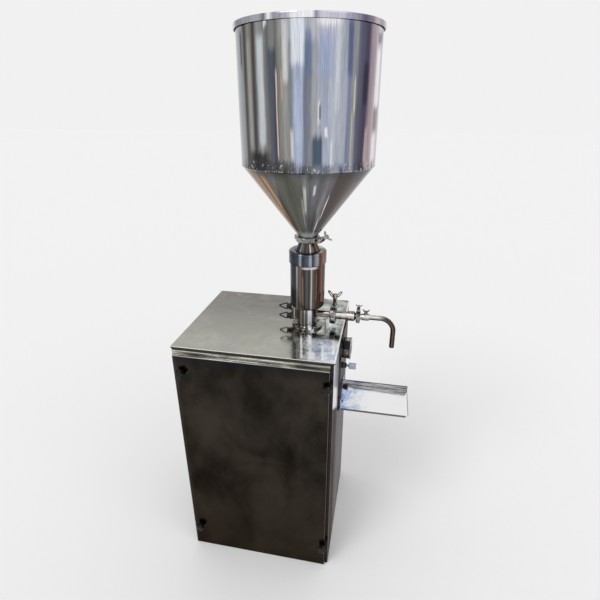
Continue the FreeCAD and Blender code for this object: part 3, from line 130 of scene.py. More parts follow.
@dataclass(frozen=True)
class Axes:
    """A place and the directions of a piece's own x, y and z.

    Attributes:
        origin: Where the piece's own origin goes.
        x: Direction of the piece's own x.
        y: Direction of the piece's own y.
        z: Direction of the piece's own z.
    """

    origin: Place
    x: Place = (1.0, 0.0, 0.0)
    y: Place = (0.0, 1.0, 0.0)
    z: Place = (0.0, 0.0, 1.0)

    def put(self, patch: Patch) -> Patch:
        """Moves a patch from its own axes into the machine.

        Args:
            patch: Surface in the piece's own axes.

        Returns:
            The surface in the machine's frame, facing outwards.
        """
        basis = np.array([self.x, self.y, self.z], float)
        return Patch(patch.points @ basis + np.array(self.origin, float), patch.quads, patch.caps).outward()

    def moved(self, x: float = 0.0, y: float = 0.0, z: float = 0.0) -> "Axes":
        """The same axes with the origin shifted along its own directions."""
        shift = np.array([x, y, z]) @ np.array([self.x, self.y, self.z], float)
        return Axes(tuple(np.array(self.origin) + shift), self.x, self.y, self.z)


def grid_quads(rows: int, columns: int, rows_meet: bool, columns_meet: bool) -> np.ndarray:
    """Faces of a grid whose points are numbered row by row.

    Args:
        rows: Number of rows.
        columns: Number of points in a row.
        rows_meet: Whether the last row joins the first.
        columns_meet: Whether the last point of a row joins its first.

    Returns:
        One row of four corner numbers for each face.
    """
    row, column = np.meshgrid(
        np.arange(rows if rows_meet else rows - 1), np.arange(
            columns if columns_meet else columns - 1
        ), indexing="ij"
    )
    next_row, next_column = (row + 1) % rows, (column + 1) % columns
    corners = [
        row * columns + column,
        row * columns + next_column,
        next_row * columns + next_column,
        next_row * columns + column,
    ]
    return np.stack(corners, axis=-1).reshape(-1, 4)


def rounded(corners: Corners, radius: float, steps: int = 3) -> np.ndarray:
    """A closed outline with its corners rounded.

    Each corner becomes a quadratic curve with the corner as its control point; it leaves one edge and joins
    the next at the radius, or at 0.45 of the shorter edge.

    Args:
        corners: Corner points of the outline.
        radius: Distance from a corner at which its curve begins.
        steps: Number of points on each curve, less one.

    Returns:
        Points of the rounded outline, one row each.
    """
    here = np.array(corners, float)
    before, after = np.roll(here, 1, axis=0) - here, np.roll(here, -1, axis=0) - here
    before_length = np.linalg.norm(before, axis=1, keepdims=True)
    after_length = np.linalg.norm(after, axis=1, keepdims=True)
    reach = np.minimum(radius, 0.45 * np.minimum(before_length, after_length))
    start, end = here + before / before_length * reach, here + after / after_length * reach
    t = np.linspace(0, 1, steps + 1)[None, :, None]
    curve = (1 - t) ** 2 * start[:, None] + 2 * t * (1 - t) * here[:, None] + t**2 * end[:, None]
    return curve.reshape(-1, 2)


def lathe(
    outline: np.ndarray,
    steps: int = 96,
    sweep: tuple[float, float] = (0.0, TURN),
    scale: Scale | None = None,
    scaled_from: float = 0.0,
) -> Patch:
    """A closed outline turned round the Z axis, either all the way or through an arc with flat ends.

    A point at radius r and height h goes to (r cos a, r sin a, h) for each angle a. Where the outline is
    further out than scaled_from, the radius is multiplied by scale(a), which makes lobes, flutes or flats.

    Args:
        outline: Rows of radius and height.
        steps: Number of angles.
        sweep: First and last angle.
        scale: Factor on the radius as a function of the angle.
        scaled_from: Radius from which the factor holds.

    Returns:
        The turned surface.
    """
    whole = abs(sweep[1] - sweep[0] - TURN) < 1e-9
    angle = np.linspace(sweep[0], sweep[1], steps, endpoint=not whole)[:, None]
    radius, height = outline[None, :, 0], outline[None, :, 1]
    if scale is not None:
        radius = np.where(radius > scaled_from, radius * scale(angle), radius)
    points = np.stack(
        [radius * np.cos(angle), radius * np.sin(angle), height + 0 * angle], axis=-1
    ).reshape(-1, 3)
    count = len(outline)
    caps = [] if whole else [list(range(count)), list(range((steps - 1) * count, steps * count))[::-1]]
    return Patch(points, grid_quads(steps, count, whole, True), caps)


def carried(path: np.ndarray, section: np.ndarray, across: Place, closed: bool) -> Patch:
    """A section carried along a path that lies in one plane.

    At each point of the path the section's first coordinate runs along the path's normal in the plane and
    its second along the plane's own normal.

    Args:
        path: Points of the path, one row each.
        section: Rows of the two coordinates of the section's points.
        across: The plane's normal.
        closed: Whether the path's end joins its start.

    Returns:
        The swept surface, with flat ends on an open path.
    """
    if closed:
        ahead = np.roll(path, -1, axis=0) - np.roll(path, 1, axis=0)
    else:
        ahead = np.gradient(path, axis=0)
    ahead = ahead / np.linalg.norm(ahead, axis=1, keepdims=True)
    level = np.array(across, float)
    side = np.cross(level, ahead)
    points = path[:, None] + section[None, :, :1] * side[:, None] + section[None, :, 1:] * level
    rows, columns = len(path), len(section)
    caps = [] if closed else [list(range(columns)), list(range((rows - 1) * columns, rows * columns))[::-1]]
    return Patch(points.reshape(-1, 3), grid_quads(rows, columns, closed, True), caps)


def slab(outline: np.ndarray, thickness: float, edge: float, steps: int = 3) -> Patch:
    """A flat plate with rounded edges, from its own XY plane upwards.

    The outline is repeated at rising heights; near each face it is drawn in along its own normals by
    edge (1 - cos a) while the height changes by edge sin a, a quarter circle.

    Args:
        outline: Points of the plate's edge, anticlockwise.
        thickness: Height of the plate.
        edge: Radius of the rounded edges.
        steps: Number of rings in each rounded edge, less one.

    Returns:
        The plate's surface.
    """
    ahead = np.roll(outline, -1, axis=0) - np.roll(outline, 1, axis=0)
    ahead = ahead / np.linalg.norm(ahead, axis=1, keepdims=True)
    inward = np.stack([-ahead[:, 1], ahead[:, 0]], axis=-1)
    quarter = np.linspace(0, math.pi / 2, steps + 1)
    inset = edge * (1 - np.sin(quarter))
    rise = edge * (1 - np.cos(quarter))
    insets = np.concatenate([inset, inset[::-1]])
    heights = np.concatenate([rise, thickness - rise[::-1]])
    flat = outline[None] + insets[:, None, None] * inward[None]
    lift = np.broadcast_to(heights[:, None, None], flat.shape[:2] + (1,))
    points = np.concatenate([flat, lift], axis=-1).reshape(-1, 3)
    rows, columns = len(insets), len(outline)
    caps = [list(range(columns))[::-1], list(range((rows - 1) * columns, rows * columns))]
    return Patch(points, grid_quads(rows, columns, False, True), caps)


def brick(low: Place, high: Place, edge: float) -> Patch:
    """A block between two corners with rounded edges.

    Args:
        low: Lowest corner.
        high: Highest corner.
        edge: Radius of the edges.

    Returns:
        The block's surface.
    """
    (x0, y0, z0), (x1, y1, z1) = low, high
    outline = rounded([(x0, y0), (x1, y0), (x1, y1), (x0, y1)], edge)
    patch = slab(outline, z1 - z0, edge)
    return Patch(patch.points + np.array([0, 0, z0]), patch.quads, patch.caps)


def oval(width: float, height: float, count: int = 14, power: float = 2.0) -> np.ndarray:
    """A closed oval: each coordinate is the cosine or sine to the power 2/power, with its sign kept.

    Args:
        width: Full width.
        height: Full height.
        count: Number of points.
        power: 2 gives an ellipse and more a squarer shape.

    Returns:
        Points of the oval, one row each.
    """
    angle = np.linspace(0, TURN, count, endpoint=False)
    c, s = np.cos(angle), np.sin(angle)
    reach = 2 / power
    across = np.sign(c) * np.abs(c) ** reach * width / 2
    along = np.sign(s) * np.abs(s) ** reach * height / 2
    return np.stack([across, along], axis=-1)


def pole_outline(corners: Corners, radius: float) -> np.ndarray:
    """An outline that starts and ends on the axis, with every corner off the axis rounded.

    Args:
        corners: Rows of radius and height, the first and last on the axis.
        radius: Radius of the rounded corners.

    Returns:
        Points of the outline.
    """
    inner = rounded(corners, radius)
    keep = inner[:, 0] > 1e-9
    ends = np.array([corners[0], corners[-1]], float)
    return np.concatenate([ends[:1], inner[keep], ends[1:]])


# Shaders


class Value:
    """A socket of a shader, so that sums and products of sockets read as Python expressions."""

    def __init__(self, shader: "Shader", socket: bpy.types.NodeSocket) -> None:
        """Keeps the socket and the shader it belongs to."""
        self.shader = shader
        self.socket = socket

    def maths(self, operation: str, *others: "Value | float") -> "Value":
        """Adds a Math node with this value as its first input."""
        inputs = {number + 1: other for number, other in enumerate(others)}
        return self.shader.node("ShaderNodeMath", {"operation": operation}, {0: self, **inputs})

    def __add__(self, other: "Value | float") -> "Value":
        """The sum."""
        return self.maths("ADD", other)

    __radd__ = __add__

    def __mul__(self, other: "Value | float") -> "Value":
        """The product."""
        return self.maths("MULTIPLY", other)

    __rmul__ = __mul__

    def __sub__(self, other: "Value | float") -> "Value":
        """The difference."""
        return self.maths("SUBTRACT", other)

    def __rsub__(self, other: float) -> "Value":
        """The difference from a number."""
        return self.shader.node("ShaderNodeMath", {"operation": "SUBTRACT"}, {0: other, 1: self})

    def __truediv__(self, other: "Value | float") -> "Value":
        """The quotient."""
        return self.maths("DIVIDE", other)

    def within(self, low: float, high: float, start: float = 0.0, end: float = 1.0) -> "Value":
        """Takes a range of this value smoothly to another range.

        Args:
            low: Value that gives the start.
            high: Value that gives the end.
            start: Result at low and below.
            end: Result at high and above.

        Returns:
            The mapped value.
        """
        settings = {"interpolation_type": "SMOOTHSTEP"}
        return self.shader.node(
            "ShaderNodeMapRange", settings, {0: self, 1: low, 2: high, 3: start, 4: end}
        )


LOOK = "_look"


class Shader:
    """A material under construction, with one Principled shader."""

    def __init__(self, name: str) -> None:
        """Starts an empty material with that name."""
        self.material = bpy.data.materials.new(name + LOOK)
        self.material.use_nodes = True
        self.tree = self.material.node_tree
        self.tree.nodes.clear()

    def node(
        self,
        kind: str,
        settings: Mapping[str, object] | None = None,
        inputs: Mapping[int | str, object] | None = None,
        output: int | str = 0,
    ) -> Value:
        """Adds one node.

        Args:
            kind: The node's type.
            settings: Its own settings, set first. "stops" gives a ramp its places and colours.
            inputs: Numbers, colours or values for its sockets.
            output: The socket to hand back.

        Returns:
            The node's output as a value.
        """
        made = self.tree.nodes.new(kind)
        for name, setting in (settings or {}).items():
            if name == "stops":
                self.set_stops(made.color_ramp, setting)
            else:
                setattr(made, name, setting)
        for name, given in (inputs or {}).items():
            if isinstance(given, Value):
                self.tree.links.new(given.socket, made.inputs[name])
            elif isinstance(given, tuple) and made.inputs[name].type == "RGBA":
                made.inputs[name].default_value = (*given, 1.0)
            else:
                made.inputs[name].default_value = given
        return Value(self, made.outputs[output])

    @staticmethod
    def set_stops(ramp: bpy.types.ColorRamp, stops: Sequence[tuple[float, Colour]]) -> None:
        """Gives a colour ramp its stops, with soft steps between them.

        Args:
            ramp: The ramp of a node.
            stops: Places between 0 and 1 with their colours, in rising order.
        """
        ramp.interpolation = "EASE"
        while len(ramp.elements) > 1:
            ramp.elements.remove(ramp.elements[-1])
        ramp.elements[0].position = stops[0][0]
        ramp.elements[0].color = (*stops[0][1], 1.0)
        for place, colour in stops[1:]:
            ramp.elements.new(place).color = (*colour, 1.0)

    def position(self) -> Value:
        """The point's place in the machine."""
        return self.node("ShaderNodeTexCoord", output="Object")

    def parts(self, vector: Value) -> tuple[Value, Value, Value]:
        """The three numbers of a vector."""
        first = self.node("ShaderNodeSeparateXYZ", inputs={0: vector})
        outputs = first.socket.node.outputs
        return first, Value(self, outputs[1]), Value(self, outputs[2])

    def vector(self, x: "Value | float", y: "Value | float", z: "Value | float") -> Value:
        """A vector from three numbers."""
        return self.node("ShaderNodeCombineXYZ", inputs={0: x, 1: y, 2: z})

    def stretched(self, scales: Place) -> Value:
        """The point's place with each direction scaled, for patterns that run one way."""
        settings = {"operation": "MULTIPLY"}
        return self.node("ShaderNodeVectorMath", settings, {0: self.position(), 1: scales})

    def noise(
        self, vector: Value, scale: float, detail: float = 3.0, rough: float = 0.5, warp: float = 0.0
    ) -> Value:
        """A cloudy pattern between 0 and 1.

        Args:
            vector: Where it is read.
            scale: Number of features per metre of the vector.
            detail: Number of finer layers.
            rough: Strength of the finer layers.
            warp: Distortion.

        Returns:
            The pattern's value.
        """
        inputs = {
            "Vector": vector, "Scale": scale, "Detail": detail, "Roughness": rough, "Distortion": warp
        }
        return self.node("ShaderNodeTexNoise", inputs=inputs)

    def mix(self, factor: "Value | float", first: "Value | Colour", second: "Value | Colour") -> Value:
        """A colour between two colours."""
        return self.node("ShaderNodeMix", {"data_type": "RGBA"}, {0: factor, 6: first, 7: second}, 2)

    def tinted(self, first: Value, second: "Value | Colour") -> Value:
        """The product of two colours."""
        settings = {"data_type": "RGBA", "blend_type": "MULTIPLY"}
        return self.node("ShaderNodeMix", settings, {0: 1.0, 6: first, 7: second}, 2)

    def ramp(self, factor: Value, stops: Sequence[tuple[float, Colour]]) -> Value:
        """A colour read off a row of stops."""
        return self.node("ShaderNodeValToRGB", {"stops": stops}, {0: factor})

    def bump(self, height: Value, depth: float, strength: float = 1.0) -> Value:
        """A normal that a height bends.

        Args:
            height: The pattern's height, from 0 to 1.
            depth: Distance in metres that a height of 1 stands for.
            strength: Share of the effect.

        Returns:
            The normal.
        """
        return self.node(
            "ShaderNodeBump", inputs={"Strength": strength, "Distance": depth, "Height": height}
        )

    def finish(self, **sockets: object) -> bpy.types.Material:
        """Adds the Principled shader and the output.

        Args:
            sockets: Inputs of the shader, with underscores for spaces in their names.

        Returns:
            The finished material.
        """
        inputs = {name.replace("_", " "): given for name, given in sockets.items()}
        surface = self.node("ShaderNodeBsdfPrincipled", inputs=inputs)
        out = self.tree.nodes.new("ShaderNodeOutputMaterial")
        self.tree.links.new(surface.socket, out.inputs["Surface"])
        return self.material


@dataclass(frozen=True)
class Finish:
    """A finish that hands out one material.

    Attributes:
        name: Name of the material.
    """

    name: str

    def material(self) -> bpy.types.Material:
        """The material, made the first time it is asked for."""
        return bpy.data.materials.get(self.name + LOOK) or self.made()

    def made(self) -> bpy.types.Material:
        """Builds the material."""
        raise NotImplementedError


def lit(red: int, green: int, blue: int) -> Colour:
    """A colour from screen values between 0 and 255, taken to linear light by the sRGB curve."""
    shares = np.array([red, green, blue]) / 255
    return tuple(np.where(shares <= 0.04045, shares / 12.92, ((shares + 0.055) / 1.055) ** 2.4).tolist())


def band_row(*rows: tuple[float, int, int, int]) -> Bands:
    """Bands from rows of a place and three screen values."""
    return tuple((place, lit(red, green, blue)) for place, red, green, blue in rows)


@dataclass(frozen=True)
class Streak:
    """One streak of painted reflection on round steel.

    Attributes:
        place: Its middle, from -1 at the left edge to 1 at the right edge as seen from the front.
        half: Half its width in the same measure.
        low: Height of its lower end.
        high: Height of its upper end.
        colour: Its colour.
        strength: Share of the colour.
    """

    place: float
    half: float
    low: float
    high: float
    colour: Colour
    strength: float = 0.9


@dataclass(frozen=True)
class BandedSteel(Finish):
    """Mirror-polished round steel, with the room's reflection painted into its colour as upright bands and
    streaks.

    Attributes:
        centre: The axis, across and along the floor.
        facing: Direction of the band row's middle, in turns round the axis.
        distance: Distance from which the places are seen, in radii of the piece.
        bands: Painted reflection bands: places from -1 (left edge) to 1 (right edge), with their colours.
        behind: Colour round the back.
        streaks: Painted reflection streaks of limited height over the bands.
        cone: Height below which the cone's bands hold, or None.
        cone_bands: Painted reflection bands of the part below that height.
        rough: Roughness.
        waver: Unsteadiness of the bands, in turns.
        foot: Height below which the steel is duller, or None.
        ragged: Unsteadiness of the streaks' ends.
        wall: Radius of the wall above the cone.
        slope: How much the cone's radius grows for each unit of height.
        edges: Painted reflection colours beyond the left and the right edge.
        cone_edges: The same on the cone.
    """

    centre: tuple[float, float] = (0.13, 0.0)
    facing: float = 0.778
    distance: float = 23.0
    bands: Bands = ()
    behind: Colour = (0.30, 0.31, 0.34)
    streaks: tuple[Streak, ...] = ()
    cone: float | None = None
    cone_bands: Bands = ()
    rough: float = 0.1
    waver: float = 0.028
    foot: float | None = None
    ragged: float = 0.03
    wall: float = 0.1863
    slope: float = 0.7652
    edges: tuple[Colour, Colour] = (lit(96, 98, 104), lit(168, 170, 176))
    cone_edges: tuple[Colour, Colour] = (lit(104, 90, 76), lit(58, 50, 48))

    def turn_of(self, place: float) -> float:
        """Where a place across the picture lies round the axis.

        From a distance of D radii the point at the angle a from the middle is seen at
        sin a / (D - cos a), and the edge, where cos a = 1 / D, at 1 / sqrt(D^2 - 1).

        Args:
            place: Place across, from -1 to 1.

        Returns:
            The place in turns, with 0.5 in the middle.
        """
        edge = math.acos(1 / self.distance)
        angle = np.linspace(-edge, edge, 361)
        across = np.sin(angle) / (self.distance - np.cos(angle)) * math.sqrt(self.distance**2 - 1)
        return 0.5 + float(np.interp(place, across, angle)) / TURN

    def stops(
        self, bands: Sequence[tuple[float, Colour]], edges: tuple[Colour, Colour]
    ) -> list[tuple[float, Colour]]:
        """Ramp stops all round for bands given as seen from the front."""
        front = [(self.turn_of(place), colour) for place, colour in bands]
        return [(0.0, self.behind), (0.17, edges[0]), *front, (0.83, edges[1]), (1.0, self.behind)]

    def streaked(self, shader: Shader, colour: Value, place: Value, height: Value) -> Value:
        """Lays the painted reflection streaks over a colour.

        A streak's share is the product of four smooth steps, one for each of its borders.

        Args:
            shader: The material under construction.
            colour: What lies under the streaks.
            place: Place round the axis in turns.
            height: Height.

        Returns:
            The colour with the streaks.
        """
        for streak in self.streaks:
            left, right = self.turn_of(streak.place - streak.half), self.turn_of(streak.place + streak.half)
            side = max(0.22 * (right - left), 0.0004)
            end = min(0.012, 0.2 * (streak.high - streak.low))
            share = place.within(left - side, left + side) * place.within(right - side, right + side, 1, 0)
            share = share * height.within(streak.low - end, streak.low + end, 0, streak.strength)
            share = share * height.within(streak.high - end, streak.high + end, 1, 0)
            colour = shader.mix(share, colour, streak.colour)
        return colour

    def fringed(self, shader: Shader, colour: Value, around: Value, height: Value) -> Value:
        """Darkens the wall just above the cone, paints small sparkle highlights just above the seam and a
        thin highlight line on the seam.
        """
        speck = shader.noise(around, 16, 3, 0.7, 0.4)
        dark = speck.within(0.35, 0.6, 0.75, 0.0) * height.within(
            self.cone + 0.004, self.cone + 0.030, 1, 0
        )
        above = height.within(self.cone - 0.001, self.cone)
        colour = shader.mix(dark * above, colour, lit(44, 44, 50))
        # Painted highlights: small sparkles just above the seam.
        grit = shader.noise(shader.stretched((190, 190, 110)), 1, 2, 0.6, 0.6)
        hue = shader.noise(shader.position(), 60, 1, 0.5)
        sparkle_highlight = shader.mix(hue.within(0.52, 0.6), lit(232, 236, 240), lit(190, 164, 110))
        spark = grit.within(0.58, 0.66) * speck.within(0.42, 0.55) * above
        spark = spark * height.within(self.cone + 0.014, self.cone + 0.028, 1, 0)
        colour = shader.mix(spark * 0.85, colour, sparkle_highlight)
        # Painted highlight: a thin broken light line on the seam.
        seam = height.within(
            self.cone - 0.0022, self.cone - 0.001
        ) * height.within(self.cone, self.cone + 0.001, 1, 0)
        return shader.mix(seam * speck.within(0.45, 0.6), colour, lit(190, 190, 190))

    def made(self) -> bpy.types.Material:
        """Builds the material."""
        shader = Shader(self.name)
        x, y, z = shader.parts(shader.position())
        across, along = x - self.centre[0], y - self.centre[1]
        angle = along.maths("ARCTAN2", across) * (1 / TURN)
        turn = (angle + (1.5 - self.facing)).maths("FRACT")
        radius = (across * across + along * along).maths("SQRT")
        around = shader.vector(across / radius, along / radius, z * 0.9)
        waver = shader.noise(around, 2.6, 3, 0.55)
        fine = shader.noise(shader.vector(across / radius, along / radius, z * 0.12), 34, 3, 0.6)
        place = turn + (waver - 0.5) * self.waver
        # Painted reflection: the room's upright bands as base colour, round the axis.
        colour = shader.ramp(place, self.stops(self.bands, self.edges))
        if self.cone is not None:
            lower = shader.ramp(place, self.stops(self.cone_bands, self.cone_edges))
            # Painted shade: a dark band on the cone just under the seam.
            shade = z.within(self.cone - 0.030, self.cone - 0.004, 0.0, 0.55)
            lower = shader.mix(shade * (0.6 + fine * 0.6), lower, lit(46, 44, 46))
            colour = shader.mix(z.within(self.cone - 0.001, self.cone), lower, colour)
        colour = self.streaked(shader, colour, place, z + (fine - 0.5) * self.ragged)
        if self.cone is not None:
            colour = self.fringed(shader, colour, around, z + (waver - 0.5) * 0.004)
        hair = shader.noise(shader.vector(across / radius, along / radius, z * 0.3), 95, 2, 0.6)
        streak = (fine * 0.6 + hair * 0.4).within(0.3, 0.7, 0.76, 1.16)
        colour = shader.tinted(colour, shader.vector(streak, streak, streak))
        marks = shader.noise(shader.stretched((260, 260, 60)), 1, 4, 0.65)
        dull: Value | float = 1.0
        if self.foot is not None:
            dull = z.within(self.foot - 0.012, self.foot + 0.012, 0.15, 0.5)
            dull = dull + z.within(self.cone - 0.006, self.cone, 0.0, 0.5)
            outer = ((z - self.cone) * self.slope + self.wall).maths("MINIMUM", self.wall)
            inside = (outer - radius).within(0.0005, 0.0009)
            plain = shader.mix(streak.within(0.76, 1.16), lit(150, 152, 156), lit(196, 198, 202))
            colour = shader.mix(inside * 0.85, colour, plain)
            dull = dull * (1.0 - inside * 0.8)
        return shader.finish(
            Base_Color=colour,
            Metallic=dull,
            Roughness=marks.within(0.35, 0.7, self.rough * 0.7, self.rough * 1.5),
            Normal=shader.bump(waver, 0.004, 0.5),
        )


@dataclass(frozen=True)
class SheetSteel(Finish):
    """Rolled stainless sheet with cloudy patches and fine marks along one direction.

    Attributes:
        dark: Colour of the darker patches.
        light: Colour of the lighter patches.
        patch: Number of patches per metre.
        rough: Roughness.
        grain: Scale of the marks along each direction.
        edge_tint: Share of each colour that it reflects at a shallow angle.
    """

    dark: Colour = (0.20, 0.20, 0.19)
    light: Colour = (0.34, 0.34, 0.33)
    patch: float = 5.0
    rough: float = 0.25
    grain: Place = (40.0, 900.0, 900.0)
    edge_tint: Colour = (1.0, 1.0, 1.0)

    def made(self) -> bpy.types.Material:
        """Builds the material."""
        shader = Shader(self.name)
        cloud = shader.noise(shader.position(), self.patch, 4, 0.55, 0.4)
        marks = shader.noise(shader.stretched(self.grain), 1, 3, 0.6)
        colour = shader.mix(cloud.within(0.3, 0.7), self.dark, self.light)
        shade = marks.within(0.25, 0.75, 0.88, 1.1)
        return shader.finish(
            Base_Color=shader.tinted(colour, shader.vector(shade, shade, shade)),
            Metallic=1.0,
            Specular_Tint=self.edge_tint,
            Roughness=(cloud * 0.6 + marks * 0.4).within(0.3, 0.7, self.rough * 0.75, self.rough * 1.35),
            Normal=shader.bump(marks, 0.00004, 0.35),
        )


@dataclass(frozen=True)
class DarkMirror(Finish):
    """The front panel: polished sheet with a dim room's reflection painted as soft brown and grey patches.

    Attributes:
        left: Where the panel's left edge is.
        right: Where its right edge is.
        top: Where its top edge is.
    """

    left: float = -0.244
    right: float = 0.237
    top: float = 0.818

    def made(self) -> bpy.types.Material:
        """Builds the material."""
        shader = Shader(self.name)
        x, _, z = shader.parts(shader.position())
        # Painted reflection of a dim room: soft brown and grey patches, browner towards the bottom, darker
        # and bluer near the top and lighter along the left edge.
        soft = shader.noise(shader.stretched((1.0, 1.0, 0.8)), 4.2, 4, 0.55, 0.7)
        spots = shader.noise(shader.stretched((1.0, 1.0, 0.6)), 15, 4, 0.6, 0.3)
        base = shader.mix(
            (soft * 0.7 + spots * 0.3).within(0.32, 0.68), (0.012, 0.010, 0.008), (0.052, 0.043, 0.034)
        )
        lower = (z * -1.0).within(-0.5, -0.02)
        base = shader.mix(lower * 0.35, base, (0.062, 0.052, 0.042))
        upper = z.within(self.top - 0.05, self.top - 0.002)
        base = shader.mix(upper * 0.5, base, (0.010, 0.012, 0.022))
        edge = x.within(self.left, self.left + 0.014, 1.0, 0.0)
        colour = shader.mix(edge * 0.3, base, lit(84, 82, 84))
        # Painted highlight on the top fold, which faces up.
        lines = shader.noise(shader.stretched((9.0, 260.0, 260.0)), 1, 3, 0.6)
        fold = shader.mix(lines.within(0.35, 0.65), lit(128, 126, 120), lit(220, 219, 212))
        colour = shader.mix(z.within(self.top - 0.0032, self.top - 0.0022), colour, fold)
        # Painted highlight: a thin light line along the right edge.
        colour = shader.mix(
            x.within(self.right - 0.0022, self.right - 0.0012) * 0.8, colour, lit(112, 109, 106)
        )
        return shader.finish(
            Base_Color=colour,
            Metallic=1.0,
            Specular_Tint=(0.25, 0.22, 0.2),
            Roughness=(soft * 0.5 + spots * 0.5).within(0.3, 0.7, 0.16, 0.3),
            Normal=shader.bump(soft, 0.004, 0.3),
        )


@dataclass(frozen=True)
class Glint:
    """One stroke of painted reflection on the top plate, running to the rear.

    Attributes:
        x: Where its middle crosses the height y.
        y: Where that is.
        lean: How far it moves along X per metre to the rear.
        half: Half its width.
        low: Its front end.
        high: Its rear end.
        colour: Its colour.
        strength: Share of the colour.
    """

    x: float
    y: float
    lean: float
    half: float
    low: float
    high: float
    colour: Colour
    strength: float = 0.85


@dataclass(frozen=True)
class TopSheet(Finish):
    """The top plate: dull warm grey on the left, with a bright bluish reflection painted in front and right
    of the tower.

    Attributes:
        top: Height of its face.
        front: Where its front edge is.
        right: Where its right edge is.
        glints: Painted reflections: strokes, mostly bright.
    """

    top: float = 0.843
    front: float = -0.22
    right: float = 0.25
    glints: tuple[Glint, ...] = ()

    def made(self) -> bpy.types.Material:
        """Builds the material."""
        shader = Shader(self.name)
        x, y, z = shader.parts(shader.position())
        cloud = shader.noise(shader.position(), 7, 4, 0.6, 0.5)
        small = shader.noise(shader.position(), 34, 4, 0.65, 0.3)
        fine = shader.noise(shader.position(), 110, 3, 0.6)
        tint = shader.noise(shader.position(), 13, 2, 0.5, 0.6)
        near = (y + (cloud - 0.5) * 0.10).within(-0.20, 0.17, 1.0, 0.0)
        dull = shader.mix(near, lit(120, 114, 110), lit(184, 182, 172))
        dull = shader.mix(
            (cloud * 0.6 + small * 0.4).within(0.35, 0.65, 0.0, 0.5), dull, lit(146, 150, 140)
        )
        dull = shader.mix(tint.within(0.55, 0.75, 0.0, 0.5), dull, lit(168, 164, 178))
        # Painted reflection in front of and right of the tower: bluish-white patches, lighter grey behind it
        # and darker greenish grey next to the column.
        bright = shader.ramp(
            (small * 0.7 + fine * 0.3).within(0.34, 0.66),
            [
                (0.0, lit(138, 156, 182)),
                (0.35, lit(178, 190, 206)),
                (0.6, lit(200, 207, 218)),
                (0.85, lit(232, 235, 239)),
                (1.0, lit(196, 194, 202)),
            ],
        )
        rear = shader.mix(small.within(0.35, 0.65), lit(126, 129, 120), lit(204, 208, 204))
        bright = shader.mix((y + (small - 0.5) * 0.05).within(-0.110, -0.070), bright, rear)
        slant = x + (y + 0.2) * 0.2
        side = (slant + (cloud - 0.5) * 0.05).within(0.120, 0.150)
        pale = shader.mix(small.within(0.35, 0.65), lit(96, 98, 92), lit(168, 170, 166))
        bright = shader.mix((slant + (small - 0.5) * 0.05).within(0.150, 0.180), pale, bright)
        colour = shader.mix(side, dull, bright)
        # Painted reflections: strokes running to the rear.
        for glint in self.glints:
            away = (x - glint.x - (y - glint.y) * glint.lean + (fine - 0.5) * 0.008).maths("ABSOLUTE")
            share = away.within(glint.half * 0.4, glint.half, glint.strength, 0.0)
            share = share * y.within(glint.low - 0.004, glint.low + 0.004) * y.within(
                glint.high - 0.004, glint.high + 0.004, 1.0, 0.0
            )
            colour = shader.mix(share, colour, glint.colour)
        # Painted shade on the front lip, below the top face.
        lip = z.within(self.top - 0.0016, self.top - 0.0012, 1.0, 0.0)
        colour = shader.mix(lip, colour, shader.mix(small, lit(34, 31, 28), lit(84, 78, 70)))
        # Painted highlights along the front and right edges.
        edge = y.within(self.front + 0.0012, self.front + 0.0022, 1.0, 0.0) * 0.7
        edge = edge.maths("MAXIMUM", x.within(self.right - 0.0050, self.right - 0.0038)) * (1.0 - lip)
        colour = shader.mix(edge * 0.95, colour, lit(244, 244, 242))
        painted = (side * y.within(-0.105, -0.075, 1.0, 0.0)).maths("MAXIMUM", edge)
        return shader.finish(
            Base_Color=colour,
            Metallic=painted.within(0.0, 1.0, 1.0, 0.25),
            Specular_IOR_Level=0.3,
            Roughness=small.within(0.3, 0.7, 0.10, 0.2),
            Normal=shader.bump(cloud, 0.003, 0.25),
        )


@dataclass(frozen=True)
class FrameSheet(Finish):
    """The frame: a top rail with a light painted reflection and lines along it, painted shade under the top
    plate, and dark posts.

    Attributes:
        foot: Height where the rail's painted reflection begins.
        shade: Height where the painted shade under the top plate begins.
        right: Where the rail's painted reflection ends.
    """

    foot: float = 0.800
    shade: float = 0.8305
    right: float = 0.236

    def made(self) -> bpy.types.Material:
        """Builds the material."""
        shader = Shader(self.name)
        x, _, z = shader.parts(shader.position())
        lines = shader.noise(shader.stretched((6.0, 6.0, 420.0)), 1, 3, 0.6)
        patch = shader.noise(shader.stretched((16.0, 16.0, 90.0)), 1, 3, 0.6, 0.4)
        # Painted reflection on the rail: light, with lines along it.
        light = shader.ramp(
            (lines * 0.6 + patch * 0.4).within(0.36, 0.66),
            [
                (0.0, lit(92, 90, 86)), (0.35, lit(140, 140, 134)), (0.7, lit(184, 184, 176)),
                (1.0, lit(240, 240, 230))
            ],
        )
        dark = shader.mix(patch, lit(36, 32, 30), lit(66, 59, 55))
        # Painted shade on the rail under the top plate.
        shade = shader.mix(patch, lit(30, 26, 26), lit(72, 68, 64))
        rail = shader.mix(z.within(self.shade - 0.0006, self.shade + 0.0006), light, shade)
        part = z.within(self.foot, self.foot + 0.001) * x.within(self.right, self.right + 0.0006, 1.0, 0.0)
        return shader.finish(
            Base_Color=shader.mix(part, dark, rail),
            Metallic=1.0,
            Specular_Tint=(0.4, 0.38, 0.36),
            Roughness=patch.within(0.3, 0.7, 0.16, 0.28),
            Normal=shader.bump(lines, 0.00006, 0.3),
        )


